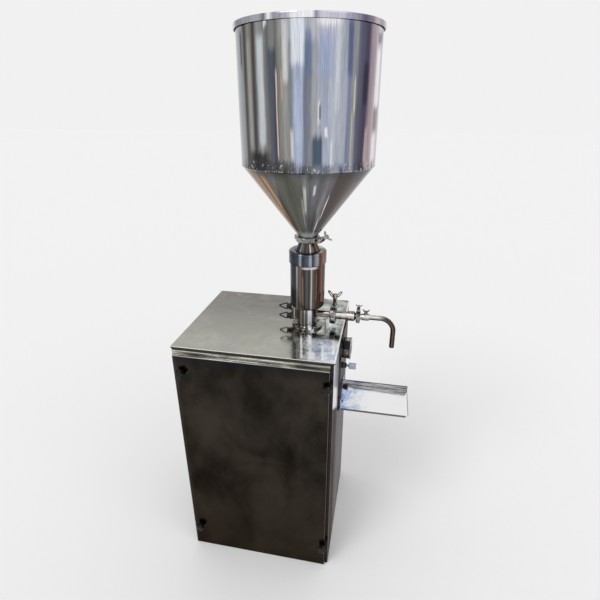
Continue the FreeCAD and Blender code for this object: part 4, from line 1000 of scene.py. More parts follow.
@dataclass(frozen=True)
class SideSheet(Finish):
    """The right wall: a reflection painted near its front edge, grey-blue at the top, white above the tray's
    level and dim grey-brown below it.

    Attributes:
        front: Where the wall's front edge is.
        level: Height of the painted reflection's change at the front edge.
        fall: How far that height drops per metre to the rear.
    """

    front: float = -0.22
    level: float = 0.688
    fall: float = 0.72

    def made(self) -> bpy.types.Material:
        """Builds the material."""
        shader = Shader(self.name)
        _, y, z = shader.parts(shader.position())
        cloud = shader.noise(shader.stretched((1.0, 1.0, 0.25)), 14, 4, 0.55, 0.4)
        streak = shader.noise(shader.stretched((260.0, 260.0, 3.0)), 1, 3, 0.6)
        # Painted reflection near the front edge: grey-blue at the top, white above the tray's level and dim
        # grey-brown below it; further back the plain sheet.
        rise = z + (y - self.front) * self.fall + (cloud - 0.5) * 0.01
        upper = rise.within(self.level - 0.010, self.level + 0.008)
        top = rise.within(self.level + 0.066, self.level + 0.086)
        high = shader.mix(cloud.within(0.35, 0.65), lit(214, 220, 230), lit(250, 251, 252))
        grey = shader.mix(
            (cloud * 0.4 + streak * 0.6).within(0.35, 0.65), lit(104, 106, 118), lit(190, 192, 204)
        )
        low = shader.mix((cloud * 0.5 + streak * 0.5).within(0.35, 0.65), lit(62, 54, 50), lit(104, 94, 88))
        plain = shader.mix(
            (cloud * 0.5 + streak * 0.5).within(0.35, 0.65), lit(96, 94, 94), lit(146, 144, 145)
        )
        near = (y + (cloud - 0.5) * 0.06).within(self.front + 0.06, self.front + 0.18, 1.0, 0.0)
        colour = shader.mix(near, plain, shader.mix(upper, low, shader.mix(top, high, grey)))
        # Painted highlight along the front edge, strongest above the tray's level.
        edge = y.within(
            self.front + 0.004, self.front + 0.006, 1.0, 0.0
        ) * upper.within(0.0, 1.0, 0.1, 0.85)
        colour = shader.mix(edge, colour, lit(232, 234, 236))
        return shader.finish(
            Base_Color=colour,
            Metallic=near * -0.32 + 0.44,
            Specular_IOR_Level=0.0,
            Specular_Tint=(0.3, 0.28, 0.27),
            Roughness=cloud.within(0.3, 0.7, 0.14, 0.26),
            Normal=shader.bump(cloud, 0.003, 0.2),
        )


@dataclass(frozen=True)
class MirrorTray(Finish):
    """The tray: polished sheet with its reflections painted: white with a bluish cloud near the cabinet, and
    dark lines on its folded edges.

    Attributes:
        start: Where the tray begins.
        end: Where it ends.
        half: Half its width.
        top: Height of its face at rest.
        wall: Height of the rear wall above the face.
    """

    start: float = 0.2552
    end: float = 0.4802
    half: float = 0.073
    top: float = 0.576
    wall: float = 0.018

    def made(self) -> bpy.types.Material:
        """Builds the material."""
        shader = Shader(self.name)
        x, y, z = shader.parts(shader.position())
        cloud = shader.noise(shader.position(), 28, 4, 0.6, 0.6)
        # Painted reflection on the face: white, with a bluish cloud near the cabinet.
        near = (x + (cloud - 0.5) * 0.03).within(self.start + 0.02, self.start + 0.10, 1.0, 0.0)
        blue = shader.ramp(
            cloud.within(0.32, 0.68),
            [
                (0.0, lit(128, 150, 192)), (0.4, lit(186, 204, 230)), (0.7, lit(226, 230, 236)),
                (1.0, lit(206, 198, 192))
            ],
        )
        face = shader.mix(near * 0.9, lit(244, 244, 245), blue)
        marks = shader.noise(shader.stretched((60, 700, 700)), 1, 3, 0.6)
        # Painted reflection on the rear wall: grey streaks along it.
        lines = shader.noise(shader.stretched((14.0, 14.0, 640.0)), 1, 2, 0.6)
        rear = shader.ramp(
            lines.within(0.34, 0.66),
            [
                (0.0, lit(72, 72, 76)), (0.3, lit(132, 132, 136)), (0.6, lit(190, 190, 192)),
                (1.0, lit(226, 226, 226))
            ],
        )
        # Painted dark lines: a dark reflection on the rear wall's top edge and shade in the fold at its
        # foot.
        rim = z.within(self.top + self.wall - 0.0022, self.top + self.wall - 0.0016)
        rim = rim.maths("MAXIMUM", z.within(self.top + 0.001, self.top + 0.002, 1.0, 0.0))
        rear = shader.mix(rim * 0.9, rear, lit(66, 64, 64))
        colour = shader.mix(y.within(self.half - 0.0034, self.half - 0.0026), face, rear)
        # Painted dark reflection on the folded front and end edges.
        hem = shader.mix(lines, lit(40, 38, 38), lit(104, 100, 98))
        front = y.within(0.0018 - self.half, 0.0022 - self.half, 1.0, 0.0)
        end = x.within(self.end - 0.0022, self.end - 0.0018)
        folded = front.maths("MAXIMUM", end) * x.within(self.start + 0.004, self.start + 0.005)
        return shader.finish(
            Base_Color=shader.mix(folded * 0.92, colour, hem),
            Metallic=1.0,
            Roughness=marks.within(0.3, 0.7, 0.10, 0.2),
            Normal=shader.bump(marks, 0.00003, 0.3),
        )


@dataclass(frozen=True)
class PipeSteel(Finish):
    """Polished pipe along X with a painted highlight on its upper side and a painted dark line below.

    Attributes:
        height: Height of the pipe's axis.
        bands: Painted highlight and shade, as places from -1 (underside) to 1 (top) with their colours.
        bend: Place of the bend's middle along X and Z, or None for a straight pipe.
        leg_bands: Bands after the bend, from its inner to its outer side.
        reach: Radius of the bend's middle line.
        radius: Radius of the bent pipe.
    """

    height: float = 0.888
    bands: Bands = ()
    bend: tuple[float, float] | None = None
    # leg_bands: Painted highlight and shade after the bend, from its inner to its outer side.
    leg_bands: Bands = ()
    reach: float = 0.043
    radius: float = 0.008

    @staticmethod
    def stops(bands: Sequence[tuple[float, Colour]]) -> list[tuple[float, Colour]]:
        """Ramp stops between 0 and 1 for places between -1 and 1."""
        return [(0.5 + place / 2, colour) for place, colour in bands]

    def made(self) -> bpy.types.Material:
        """Builds the material."""
        shader = Shader(self.name)
        x, y, z = shader.parts(shader.position())
        streak = shader.noise(shader.stretched((30.0, 420.0, 420.0)), 1, 3, 0.6)
        cloud = shader.noise(shader.position(), 110, 3, 0.6, 0.4)
        # Painted highlight and shade: a place round the pipe from underside to top, and after the bend from
        # inner to outer side.
        if self.bend is None:
            up = z - self.height
            share = up / (up * up + y * y).maths("SQRT")
        else:
            over = (x - self.bend[0]).maths("MAXIMUM", 0.0)
            rise = (z - self.bend[1]).maths("MAXIMUM", 0.0)
            share = ((over * over + rise * rise).maths("SQRT") - self.reach) / self.radius
        share = share * 0.5 + 0.5 + (streak - 0.5) * 0.12 + (cloud - 0.5) * 0.16
        colour = shader.ramp(share, self.stops(self.bands))
        if self.bend is not None:
            leg = shader.ramp(share, self.stops(self.leg_bands))
            colour = shader.mix(
                (x + (cloud - 0.5) * 0.01).within(self.bend[0] - 0.012, self.bend[0] + 0.02), colour, leg
            )
        return shader.finish(
            Base_Color=colour,
            Metallic=1.0,
            Specular_Tint=(0.5, 0.48, 0.46),
            Roughness=cloud.within(0.3, 0.7, 0.10, 0.2),
            Normal=shader.bump(cloud, 0.0002, 0.3),
        )


@dataclass(frozen=True)
class CastSteel(Finish):
    """Tumbled or turned stainless with a fine grain.

    Attributes:
        dark: Colour in the hollows.
        light: Colour of the rubbed parts.
        rough: Roughness.
        grain: Number of grains per metre.
        depth: Depth of the grain.
    """

    dark: Colour = (0.22, 0.21, 0.20)
    light: Colour = (0.62, 0.61, 0.59)
    rough: float = 0.22
    grain: float = 380.0
    depth: float = 0.00012

    def made(self) -> bpy.types.Material:
        """Builds the material."""
        shader = Shader(self.name)
        grain = shader.noise(shader.position(), self.grain, 4, 0.6)
        cloud = shader.noise(shader.position(), self.grain / 6, 3, 0.5, 0.5)
        colour = shader.mix((grain * 0.35 + cloud * 0.65).within(0.35, 0.65), self.dark, self.light)
        return shader.finish(
            Base_Color=colour,
            Metallic=1.0,
            Roughness=grain.within(0.3, 0.7, self.rough * 0.7, self.rough * 1.4),
            Normal=shader.bump(grain, self.depth, 0.4),
        )


@dataclass(frozen=True)
class Moulded(Finish):
    """Moulded plastic or rubber with a fine skin.

    Attributes:
        colour: Its colour.
        worn: Colour of rubbed spots.
        rough: Roughness.
        sheen: Strength of its reflections.
    """

    colour: Colour = (0.006, 0.006, 0.007)
    worn: Colour = (0.022, 0.022, 0.024)
    rough: float = 0.3
    sheen: float = 0.22

    def made(self) -> bpy.types.Material:
        """Builds the material."""
        shader = Shader(self.name)
        skin = shader.noise(shader.position(), 900, 3, 0.6)
        wear = shader.noise(shader.position(), 70, 4, 0.6)
        return shader.finish(
            Base_Color=shader.mix(wear.within(0.45, 0.75), self.colour, self.worn),
            Specular_IOR_Level=self.sheen,
            Roughness=(skin * 0.4 + wear * 0.6).within(0.3, 0.7, self.rough * 0.75, self.rough * 1.4),
            Normal=shader.bump(skin, 0.00006, 0.3),
        )


@dataclass(frozen=True)
class ClearGlass(Finish):
    """Flat clear glass with faint dust."""

    def made(self) -> bpy.types.Material:
        """Builds the material."""
        shader = Shader(self.name)
        dust = shader.noise(shader.position(), 300, 4, 0.6)
        return shader.finish(
            Base_Color=(0.95, 0.97, 0.97),
            Roughness=dust.within(0.4, 0.8, 0.02, 0.12),
            Alpha=dust.within(0.3, 0.9, 0.10, 0.20),
            IOR=1.5,
        )


@dataclass(frozen=True)
class Dial(Finish):
    """A white dial with a ring of graduations: longer marks at every tenth of the scale.

    Attributes:
        centre: The dial's middle, along Y and Z.
        outer: Radius of the outer end of the marks.
    """

    centre: tuple[float, float] = (0.0, 0.769)
    outer: float = 0.029

    def made(self) -> bpy.types.Material:
        """Builds the material."""
        shader = Shader(self.name)
        _, y, z = shader.parts(shader.position())
        across, up = y - self.centre[0], z - self.centre[1]
        radius = (across * across + up * up).maths("SQRT")
        angle = across.maths("ARCTAN2", up) * (1 / TURN) + 0.5
        on_scale = angle.within(0.120, 0.125) * angle.within(0.875, 0.880, 1.0, 0.0)
        band = radius.within(self.outer - 0.0002, self.outer, 1.0, 0.0)

        def ticks(count: float, width: float, inner: float) -> Value:
            """Marks round the scale, where one of count places in a turn is less than a width away."""
            phase = (angle * count).maths("FRACT") - 0.5
            near = phase.maths("ABSOLUTE").within(0.5 - width, 0.5 - width * 0.7)
            return near * radius.within(inner, inner + 0.0002)

        long_marks = ticks(40 / 3, 0.07, self.outer - 0.006)
        short_marks = ticks(200 / 3, 0.16, self.outer - 0.0028)
        ink = long_marks.maths("MAXIMUM", short_marks) * band * on_scale
        paper = shader.noise(shader.position(), 200, 3, 0.5)
        ground = shader.mix(paper, (0.80, 0.80, 0.78), (0.86, 0.86, 0.85))
        return shader.finish(
            Base_Color=shader.mix(ink, ground, (0.02, 0.02, 0.02)),
            Roughness=paper.within(0.3, 0.7, 0.35, 0.5),
        )


# Painted reflections: the room's upright bands on round steel, as places from -1 (left edge) to 1 (right
# edge) with screen colours.
HOPPER_BANDS = band_row(
    (-1.00, 150, 155, 160), (-0.92, 138, 144, 148), (-0.88, 62, 58, 56), (-0.815, 140, 138, 134),
    (-0.755, 70, 64, 60), (-0.70, 150, 152, 156), (-0.60, 128, 128, 124), (-0.535, 88, 94, 104),
    (-0.47, 78, 84, 96), (-0.42, 128, 127, 122), (-0.33, 160, 160, 156), (-0.26, 140, 142, 142),
    (-0.24, 116, 122, 134), (-0.20, 172, 182, 204), (-0.09, 176, 186, 210), (-0.05, 122, 128, 148),
    (0.02, 140, 142, 150), (0.08, 172, 175, 180), (0.22, 174, 181, 200), (0.34, 188, 192, 204),
    (0.50, 176, 181, 194), (0.56, 122, 130, 156), (0.64, 156, 156, 158), (0.69, 98, 100, 118),
    (0.80, 72, 68, 88), (0.87, 170, 150, 158), (0.95, 200, 192, 200), (1.00, 120, 112, 118),
)
CONE_BANDS = band_row(
    (-1.00, 110, 78, 48), (-0.95, 150, 104, 58), (-0.90, 92, 60, 36), (-0.85, 164, 118, 66),
    (-0.80, 84, 62, 44), (-0.76, 60, 54, 50), (-0.70, 98, 94, 90), (-0.52, 124, 123, 119),
    (-0.40, 112, 113, 107), (-0.22, 124, 125, 120), (-0.12, 112, 114, 112), (-0.04, 150, 152, 150),
    (0.02, 108, 108, 110), (0.14, 122, 121, 122), (0.22, 94, 92, 94), (0.34, 122, 120, 124),
    (0.45, 110, 106, 110), (0.50, 72, 64, 64), (0.62, 68, 58, 56), (0.80, 84, 70, 66),
    (0.93, 62, 50, 50), (0.97, 40, 34, 40), (1.00, 58, 52, 56),
)
BARREL_BANDS = band_row(
    (-1.00, 70, 74, 82), (-0.86, 44, 48, 56), (-0.68, 62, 66, 74), (-0.62, 168, 170, 172),
    (-0.56, 90, 88, 88), (-0.45, 118, 98, 82), (-0.34, 74, 70, 68), (-0.18, 60, 58, 60),
    (-0.05, 98, 96, 96), (0.08, 66, 64, 64), (0.17, 92, 90, 88), (0.23, 196, 194, 190),
    (0.30, 98, 92, 88), (0.44, 84, 74, 66), (0.60, 58, 48, 42), (0.70, 82, 62, 52), (0.78, 134, 98, 82),
    (0.86, 80, 60, 52), (0.94, 54, 46, 44), (1.00, 112, 100, 95),
)
COLUMN_BANDS = band_row(
    (-1.00, 110, 106, 104), (-0.80, 84, 78, 74), (-0.62, 172, 162, 150), (-0.45, 70, 68, 66),
    (-0.30, 196, 194, 190), (-0.16, 84, 82, 80), (0.02, 150, 148, 146), (0.12, 238, 240, 244),
    (0.38, 208, 212, 218), (0.52, 74, 72, 74), (0.80, 124, 112, 104), (1.00, 150, 144, 140),
)
WALL_FOOT = 1.3528
WALL_HEIGHT = 0.3344
# Painted reflection streaks on the hopper, bright and dark: place, half width, lower and upper end in shares
# of the wall's height above its foot, colour and an optional share.
HOPPER_PAINTED_REFLECTIONS = (
    (-0.93, 0.014, 0.70, 0.93, lit(34, 32, 32)),
    (-0.82, 0.024, 0.16, 0.86, lit(160, 158, 154)),
    (-0.665, 0.045, 0.18, 0.88, lit(204, 209, 215)),
    (-0.72, 0.13, -0.02, 0.13, lit(46, 44, 44)),
    (-0.55, 0.34, -0.02, 0.075, lit(66, 64, 66), 0.6),
    (0.10, 0.30, -0.02, 0.05, lit(96, 98, 108), 0.5),
    (-0.585, 0.022, 0.93, 1.04, lit(240, 240, 240)),
    (-0.50, 0.045, 0.80, 0.98, lit(132, 133, 130)),
    (-0.455, 0.010, 0.10, 0.66, lit(232, 200, 196)),
    (-0.375, 0.012, 0.48, 0.66, lit(196, 170, 150)),
    (-0.31, 0.038, 0.60, 0.96, lit(212, 213, 211)),
    (0.06, 0.380, 0.84, 1.04, lit(206, 206, 216), 0.6),
    (-0.155, 0.080, 0.70, 1.04, lit(234, 238, 246)),
    (-0.155, 0.030, 0.20, 0.60, lit(186, 196, 220)),
    (-0.01, 0.050, 0.62, 0.90, lit(112, 128, 164), 0.7),
    (0.28, 0.150, 0.92, 1.04, lit(248, 248, 251)),
    (0.25, 0.120, 0.62, 0.88, lit(168, 178, 212), 0.7),
    (0.40, 0.030, 0.40, 0.94, lit(200, 205, 214)),
    (0.14, 0.018, 0.34, 0.48, lit(220, 222, 220)),
    (0.155, 0.010, 0.36, 0.45, lit(84, 94, 106)),
    (0.245, 0.024, 0.24, 0.30, lit(248, 248, 248)),
    (-0.235, 0.024, 0.09, 0.29, lit(212, 212, 206)),
    (0.12, 0.065, 0.04, 0.25, lit(66, 82, 100)),
    (0.33, 0.013, 0.05, 0.22, lit(232, 234, 234)),
    (0.56, 0.035, 0.64, 0.95, lit(92, 104, 138), 0.8),
    (0.645, 0.011, 0.40, 0.62, lit(210, 210, 172)),
    (0.615, 0.010, 0.04, 0.40, lit(194, 194, 176)),
    (0.79, 0.035, 0.45, 0.72, lit(52, 46, 68), 0.8),
    (0.84, 0.020, 0.02, 0.30, lit(182, 162, 160)),
    (0.955, 0.026, 0.44, 0.82, lit(248, 246, 249)),
    (0.955, 0.026, 0.27, 0.43, lit(128, 116, 110)),
    (0.945, 0.024, 0.05, 0.25, lit(238, 232, 236)),
    (0.97, 0.028, 0.86, 0.92, lit(86, 76, 116)),
    (-0.06, 0.030, -0.36, -0.12, lit(238, 239, 236)),
    (-0.13, 0.022, -0.52, -0.22, lit(206, 204, 192)),
    (0.12, 0.022, -0.18, -0.10, lit(226, 227, 227)),
    (0.47, 0.016, -0.42, -0.20, lit(238, 235, 233)),
    (0.41, 0.020, -0.58, -0.38, lit(228, 226, 224)),
    (-0.75, 0.028, -0.45, -0.05, lit(192, 142, 78)),
    (-0.30, 0.180, -0.30, -0.05, lit(104, 104, 98), 0.5),
    (0.90, 0.080, -0.10, -0.01, lit(28, 24, 34)),
    (0.00, 0.700, -0.68, -0.565, lit(172, 178, 176)),
)
HOPPER_STREAKS = tuple(
    Streak(place, half, WALL_FOOT + low * WALL_HEIGHT, WALL_FOOT + high * WALL_HEIGHT, colour, *strength)
    for place, half, low, high, colour, *strength in HOPPER_PAINTED_REFLECTIONS
)
# Painted reflections on the barrel: a light ring under the union nut and two upright streaks.
BARREL_STREAKS = (
    Streak(0.12, 0.42, 1.0545, 1.0625, lit(226, 226, 222), 0.75),
    Streak(-0.30, 0.020, 0.93, 1.03, lit(150, 140, 130)),
    Streak(0.52, 0.016, 0.95, 1.04, lit(140, 120, 104)),
)

HOPPER_STEEL = BandedSteel(
    "hopper_steel",
    distance=6.83,
    bands=HOPPER_BANDS,
    streaks=HOPPER_STREAKS,
    cone=WALL_FOOT,
    cone_bands=CONE_BANDS,
    waver=0.018,
    foot=1.168,
)
BARREL_STEEL = BandedSteel(
    "barrel_steel", bands=BARREL_BANDS, streaks=BARREL_STREAKS, rough=0.14, ragged=0.004
)
COLUMN_STEEL = BandedSteel("column_steel", bands=COLUMN_BANDS, rough=0.14)
# Painted reflection bands on the rim.
RIM_BANDS = band_row(
    (-0.99, 222, 222, 226), (-0.94, 112, 112, 122), (-0.86, 150, 150, 160), (-0.66, 172, 172, 180),
    (-0.58, 120, 118, 128), (-0.52, 240, 240, 242), (-0.45, 156, 156, 166), (-0.28, 190, 190, 200),
    (-0.20, 248, 248, 250), (0.04, 250, 250, 252), (0.09, 150, 152, 172), (0.16, 216, 216, 228),
    (0.42, 204, 204, 218), (0.58, 164, 160, 180), (0.72, 108, 100, 122), (0.80, 132, 122, 140),
    (0.88, 200, 188, 196), (0.95, 160, 146, 156), (0.99, 206, 194, 198),
)
RIM_STEEL = BandedSteel("rim_steel", distance=6.83, bands=RIM_BANDS, rough=0.12, waver=0.012)
# Painted reflection bands on the union nut.
NUT_BANDS = band_row(
    (-1.00, 84, 90, 100), (-0.82, 46, 50, 58), (-0.55, 66, 70, 80), (-0.42, 150, 156, 166),
    (-0.30, 56, 60, 70), (0.02, 88, 94, 106), (0.16, 176, 182, 190), (0.28, 58, 62, 72),
    (0.52, 156, 158, 164), (0.66, 88, 70, 66), (0.80, 140, 104, 94), (1.00, 66, 68, 76),
)
NUT_STEEL = BandedSteel("union_nut_steel", bands=NUT_BANDS, rough=0.14)
# Painted highlight along the top and painted shade underneath, round the outlet pipe, the spout and the
# spout's leg.
PIPE_BANDS = band_row(
    (-1.0, 58, 52, 48), (-0.72, 38, 34, 32), (-0.45, 120, 108, 98), (-0.10, 176, 168, 156),
    (0.25, 206, 202, 194), (0.55, 248, 248, 246), (0.80, 226, 226, 222), (1.0, 140, 136, 130),
)
LEG_BANDS = band_row(
    (-1.0, 40, 34, 32), (-0.5, 50, 43, 40), (-0.1, 104, 92, 86), (0.25, 84, 73, 68), (0.65, 58, 49, 46),
    (1.0, 112, 100, 94),
)
SPOUT_BANDS = band_row(
    (-1.0, 52, 46, 44), (-0.6, 36, 32, 31), (-0.25, 96, 90, 86), (0.2, 176, 174, 170),
    (0.6, 242, 242, 242), (1.0, 196, 194, 192),
)
PIPE_STEEL = PipeSteel("pipe_steel", bands=PIPE_BANDS)
SPOUT_STEEL = PipeSteel("spout_steel", bands=SPOUT_BANDS, bend=(0.365, 0.845), leg_bands=LEG_BANDS)
CLAMP_STEEL = CastSteel(
    "clamp_steel", dark=lit(46, 42, 40), light=lit(176, 174, 171), rough=0.16, grain=260
)
BOLT_STEEL = CastSteel("bolt_steel", dark=(0.25, 0.24, 0.23), light=(0.55, 0.54, 0.52), grain=500)
COVER_STEEL = CastSteel(
    "cover_steel", dark=lit(40, 37, 35), light=lit(120, 114, 108), rough=0.16, grain=120, depth=0.00003
)
TURNED_STEEL = CastSteel(
    "turned_steel", dark=(0.30, 0.30, 0.29), light=(0.58, 0.58, 0.56), grain=160, depth=0.00003
)
ALUMINIUM = CastSteel(
    "cylinder_aluminium", dark=(0.42, 0.43, 0.44), light=(0.60, 0.61, 0.62), rough=0.35, grain=220
)
BRASS = CastSteel("inlet_brass", dark=(0.36, 0.24, 0.08), light=(0.62, 0.46, 0.19), rough=0.25, grain=260)
GAUGE_STEEL = CastSteel(
    "gauge_steel", dark=lit(104, 96, 100), light=lit(214, 210, 210), rough=0.2, grain=200
)
WALL_STEEL = SheetSteel(
    "wall_steel", dark=(0.15, 0.145, 0.14), light=(0.27, 0.26, 0.25), grain=(900, 900, 40)
)
FRAME_STEEL = FrameSheet("frame_steel")
FLOOR_STEEL = SheetSteel("floor_steel")
PLATE_STEEL = SheetSteel(
    "plate_steel",
    dark=lit(62, 58, 57),
    light=lit(108, 102, 100),
    patch=22,
    grain=(900, 900, 60),
    edge_tint=(0.25, 0.24, 0.24),
)
# Painted reflections on the top plate, mostly bright strokes and two dark: x, y, lean, half width, front
# end, rear end, colour.
TOP_PLATE_PAINTED_GLINTS = (
    (0.1303, -0.1067, -0.196, 0.0048, -0.212, -0.075, lit(250, 249, 244)),
    (0.1273, -0.1686, -0.208, 0.0030, -0.210, -0.155, lit(214, 216, 208)),
    (0.1458, -0.0709, -0.282, 0.0110, -0.140, -0.070, lit(226, 224, 224)),
    (0.1760, -0.1900, -0.180, 0.0150, -0.212, -0.172, lit(252, 252, 252)),
    (0.1680, -0.1650, -0.180, 0.0070, -0.180, -0.145, lit(238, 240, 240)),
    (0.2003, -0.1363, -0.150, 0.0052, -0.212, -0.128, lit(248, 250, 250)),
    (0.2330, -0.1300, -0.120, 0.0060, -0.170, -0.070, lit(240, 242, 244)),
    (0.1615, 0.0319, -0.158, 0.0065, -0.030, 0.050, lit(236, 234, 226)),
    (0.2030, 0.0300, -0.132, 0.0055, 0.000, 0.050, lit(240, 238, 230)),
    (0.2180, 0.0000, -0.140, 0.0130, -0.035, 0.045, lit(196, 206, 214)),
    (0.1900, 0.0000, -0.140, 0.0040, -0.050, 0.050, lit(96, 92, 86)),
    (0.1480, -0.0600, -0.300, 0.0040, -0.075, -0.048, lit(70, 62, 58)),
)
TOP_STEEL = TopSheet("top_steel", glints=tuple(Glint(*mark) for mark in TOP_PLATE_PAINTED_GLINTS))
SIDE_STEEL = SideSheet("side_steel")
FRONT_STEEL = DarkMirror("front_steel")
TRAY_STEEL = MirrorTray("tray_steel")
BLACK_PLASTIC = Moulded("black_plastic")
DARK_PLASTIC = Moulded("dark_plastic", colour=(0.02, 0.02, 0.022), worn=(0.05, 0.05, 0.052), rough=0.42)
BUTTON_PLASTIC = Moulded("button_plastic", colour=(0.40, 0.47, 0.58), worn=(0.58, 0.64, 0.72), rough=0.28)
WHITE_SEAL = Moulded("white_seal", colour=(0.74, 0.74, 0.71), worn=(0.66, 0.66, 0.62), rough=0.45)
PISTON_PLASTIC = Moulded("piston_plastic", colour=(0.80, 0.80, 0.78), worn=(0.72, 0.72, 0.70), rough=0.4)
NEEDLE_PAINT = Moulded("needle_paint", colour=(0.02, 0.02, 0.02), worn=(0.05, 0.05, 0.05), rough=0.4)
DIAL_PAINT = Dial("dial_paint")
GLASS = ClearGlass("gauge_glass_clear")


# Pieces


def publish(
    name: str,
    patches: Sequence[Patch],
    finish: Finish,
    node: str,
    stands_for: bool = True,
) -> bpy.types.Object:
    """Makes one object out of closed surfaces and hangs it on a CAD node's body.

    Args:
        name: Name of the piece.
        patches: Its surfaces, in the machine's frame.
        finish: Its finish.
        node: The CAD node whose body it takes.
        stands_for: Whether it is shown in the node's place.

    Returns:
        The object.
    """
    offset = 0
    points: list[np.ndarray] = []
    faces: list[list[int]] = []
    for patch in patches:
        points.append(patch.points)
        faces += (patch.quads + offset).tolist()
        faces += [[corner + offset for corner in cap] for cap in patch.caps]
        offset += len(patch.points)
    mesh = bpy.data.meshes.new(name)
    mesh.from_pydata(np.concatenate(points).tolist(), [], faces)
    merged(mesh)
    return shown(name, mesh, finish, node, stands_for)


def merged(mesh: bpy.types.Mesh, flatten: bool = False) -> None:
    """Joins points that coincide and drops faces without area.

    Args:
        mesh: The mesh to clean.
        flatten: Whether triangles that lie in one plane become one face.
    """
    work = bmesh.new()
    work.from_mesh(mesh)
    bmesh.ops.remove_doubles(work, verts=work.verts, dist=2e-6)
    bmesh.ops.dissolve_degenerate(work, edges=work.edges, dist=1e-7)
    if flatten:
        bmesh.ops.dissolve_limit(work, angle_limit=math.radians(0.5), verts=work.verts, edges=work.edges)
    work.to_mesh(mesh)
    work.free()


def shown(
    name: str,
    mesh: bpy.types.Mesh,
    finish: Finish,
    node: str,
    stands_for: bool = True,
) -> bpy.types.Object:
    """Links a mesh as a piece with its finish, shading and body.

    Args:
        name: Name of the piece.
        mesh: Its mesh, in the machine's frame.
        finish: Its finish.
        node: The CAD node whose body it takes.
        stands_for: Whether it is shown in the node's place.

    Returns:
        The object.
    """
    mesh.materials.clear()
    mesh.materials.append(finish.material())
    mesh.shade_smooth()
    mesh.set_sharp_from_angle(angle=math.radians(SHARP_ANGLE))
    piece = bpy.data.objects.new(name, mesh)
    bpy.context.scene.collection.objects.link(piece)
    body, slot, replaces = node_body(node), node_slot(node), [node] if stands_for else []
    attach(piece, body)
    if replaces:
        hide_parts(*replaces)
    LOG.info("%s: %d faces on %s", name, len(mesh.polygons), body)
    return piece


def node_body(node: str) -> str:
    """The body that carries a CAD node."""
    return frame["nodes"][node]["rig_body"]


def node_slot(node: str) -> str:
    """The record's material slot of a CAD node."""
    return next(part["material_slot"] for part in frame["record"]["subparts"] if part["node"] == node)


def dressed_copy(node: str, finish: Finish, edge: float, limit: float = 50.0) -> bpy.types.Object:
    """A copy of a CAD node with merged points, rounded edges and smooth shading.

    Args:
        node: The CAD node.
        finish: Its finish.
        edge: Width of the rounding on its edges, 0 for none.
        limit: Angle in degrees above which an edge is rounded.

    Returns:
        The object that stands for the node.
    """
    mesh = frame["nodes"][node].data.copy()
    mesh.name = node + "_skin"
    merged(mesh, flatten=True)
    piece = shown(node + "_skin", mesh, finish, node)
    if edge:
        bevel = piece.modifiers.new("edges", "BEVEL")
        bevel.width = edge
        bevel.segments = 2
        bevel.limit_method = "ANGLE"
        bevel.angle_limit = math.radians(limit)
        bevel.harden_normals = True
    return piece


def painted(node: str, finish: Finish) -> None:
    """Gives a CAD node a finish of its own.

    Args:
        node: The CAD node.
        finish: The finish.
    """
    materials = frame["nodes"][node].data.materials
    if len(materials):
        for number in range(len(materials)):
            materials[number] = finish.material()
    else:
        materials.append(finish.material())


def middle(node: str) -> Place:
    """The middle of a CAD node's box."""
    low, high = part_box(node)
    return tuple((low + high) / 2)


TOWER_X = middle("barrel")[0]
OUTLET_Z = middle("valve_ball")[2]
FERRULE_JOINT = middle("hopper_clamp")[2]


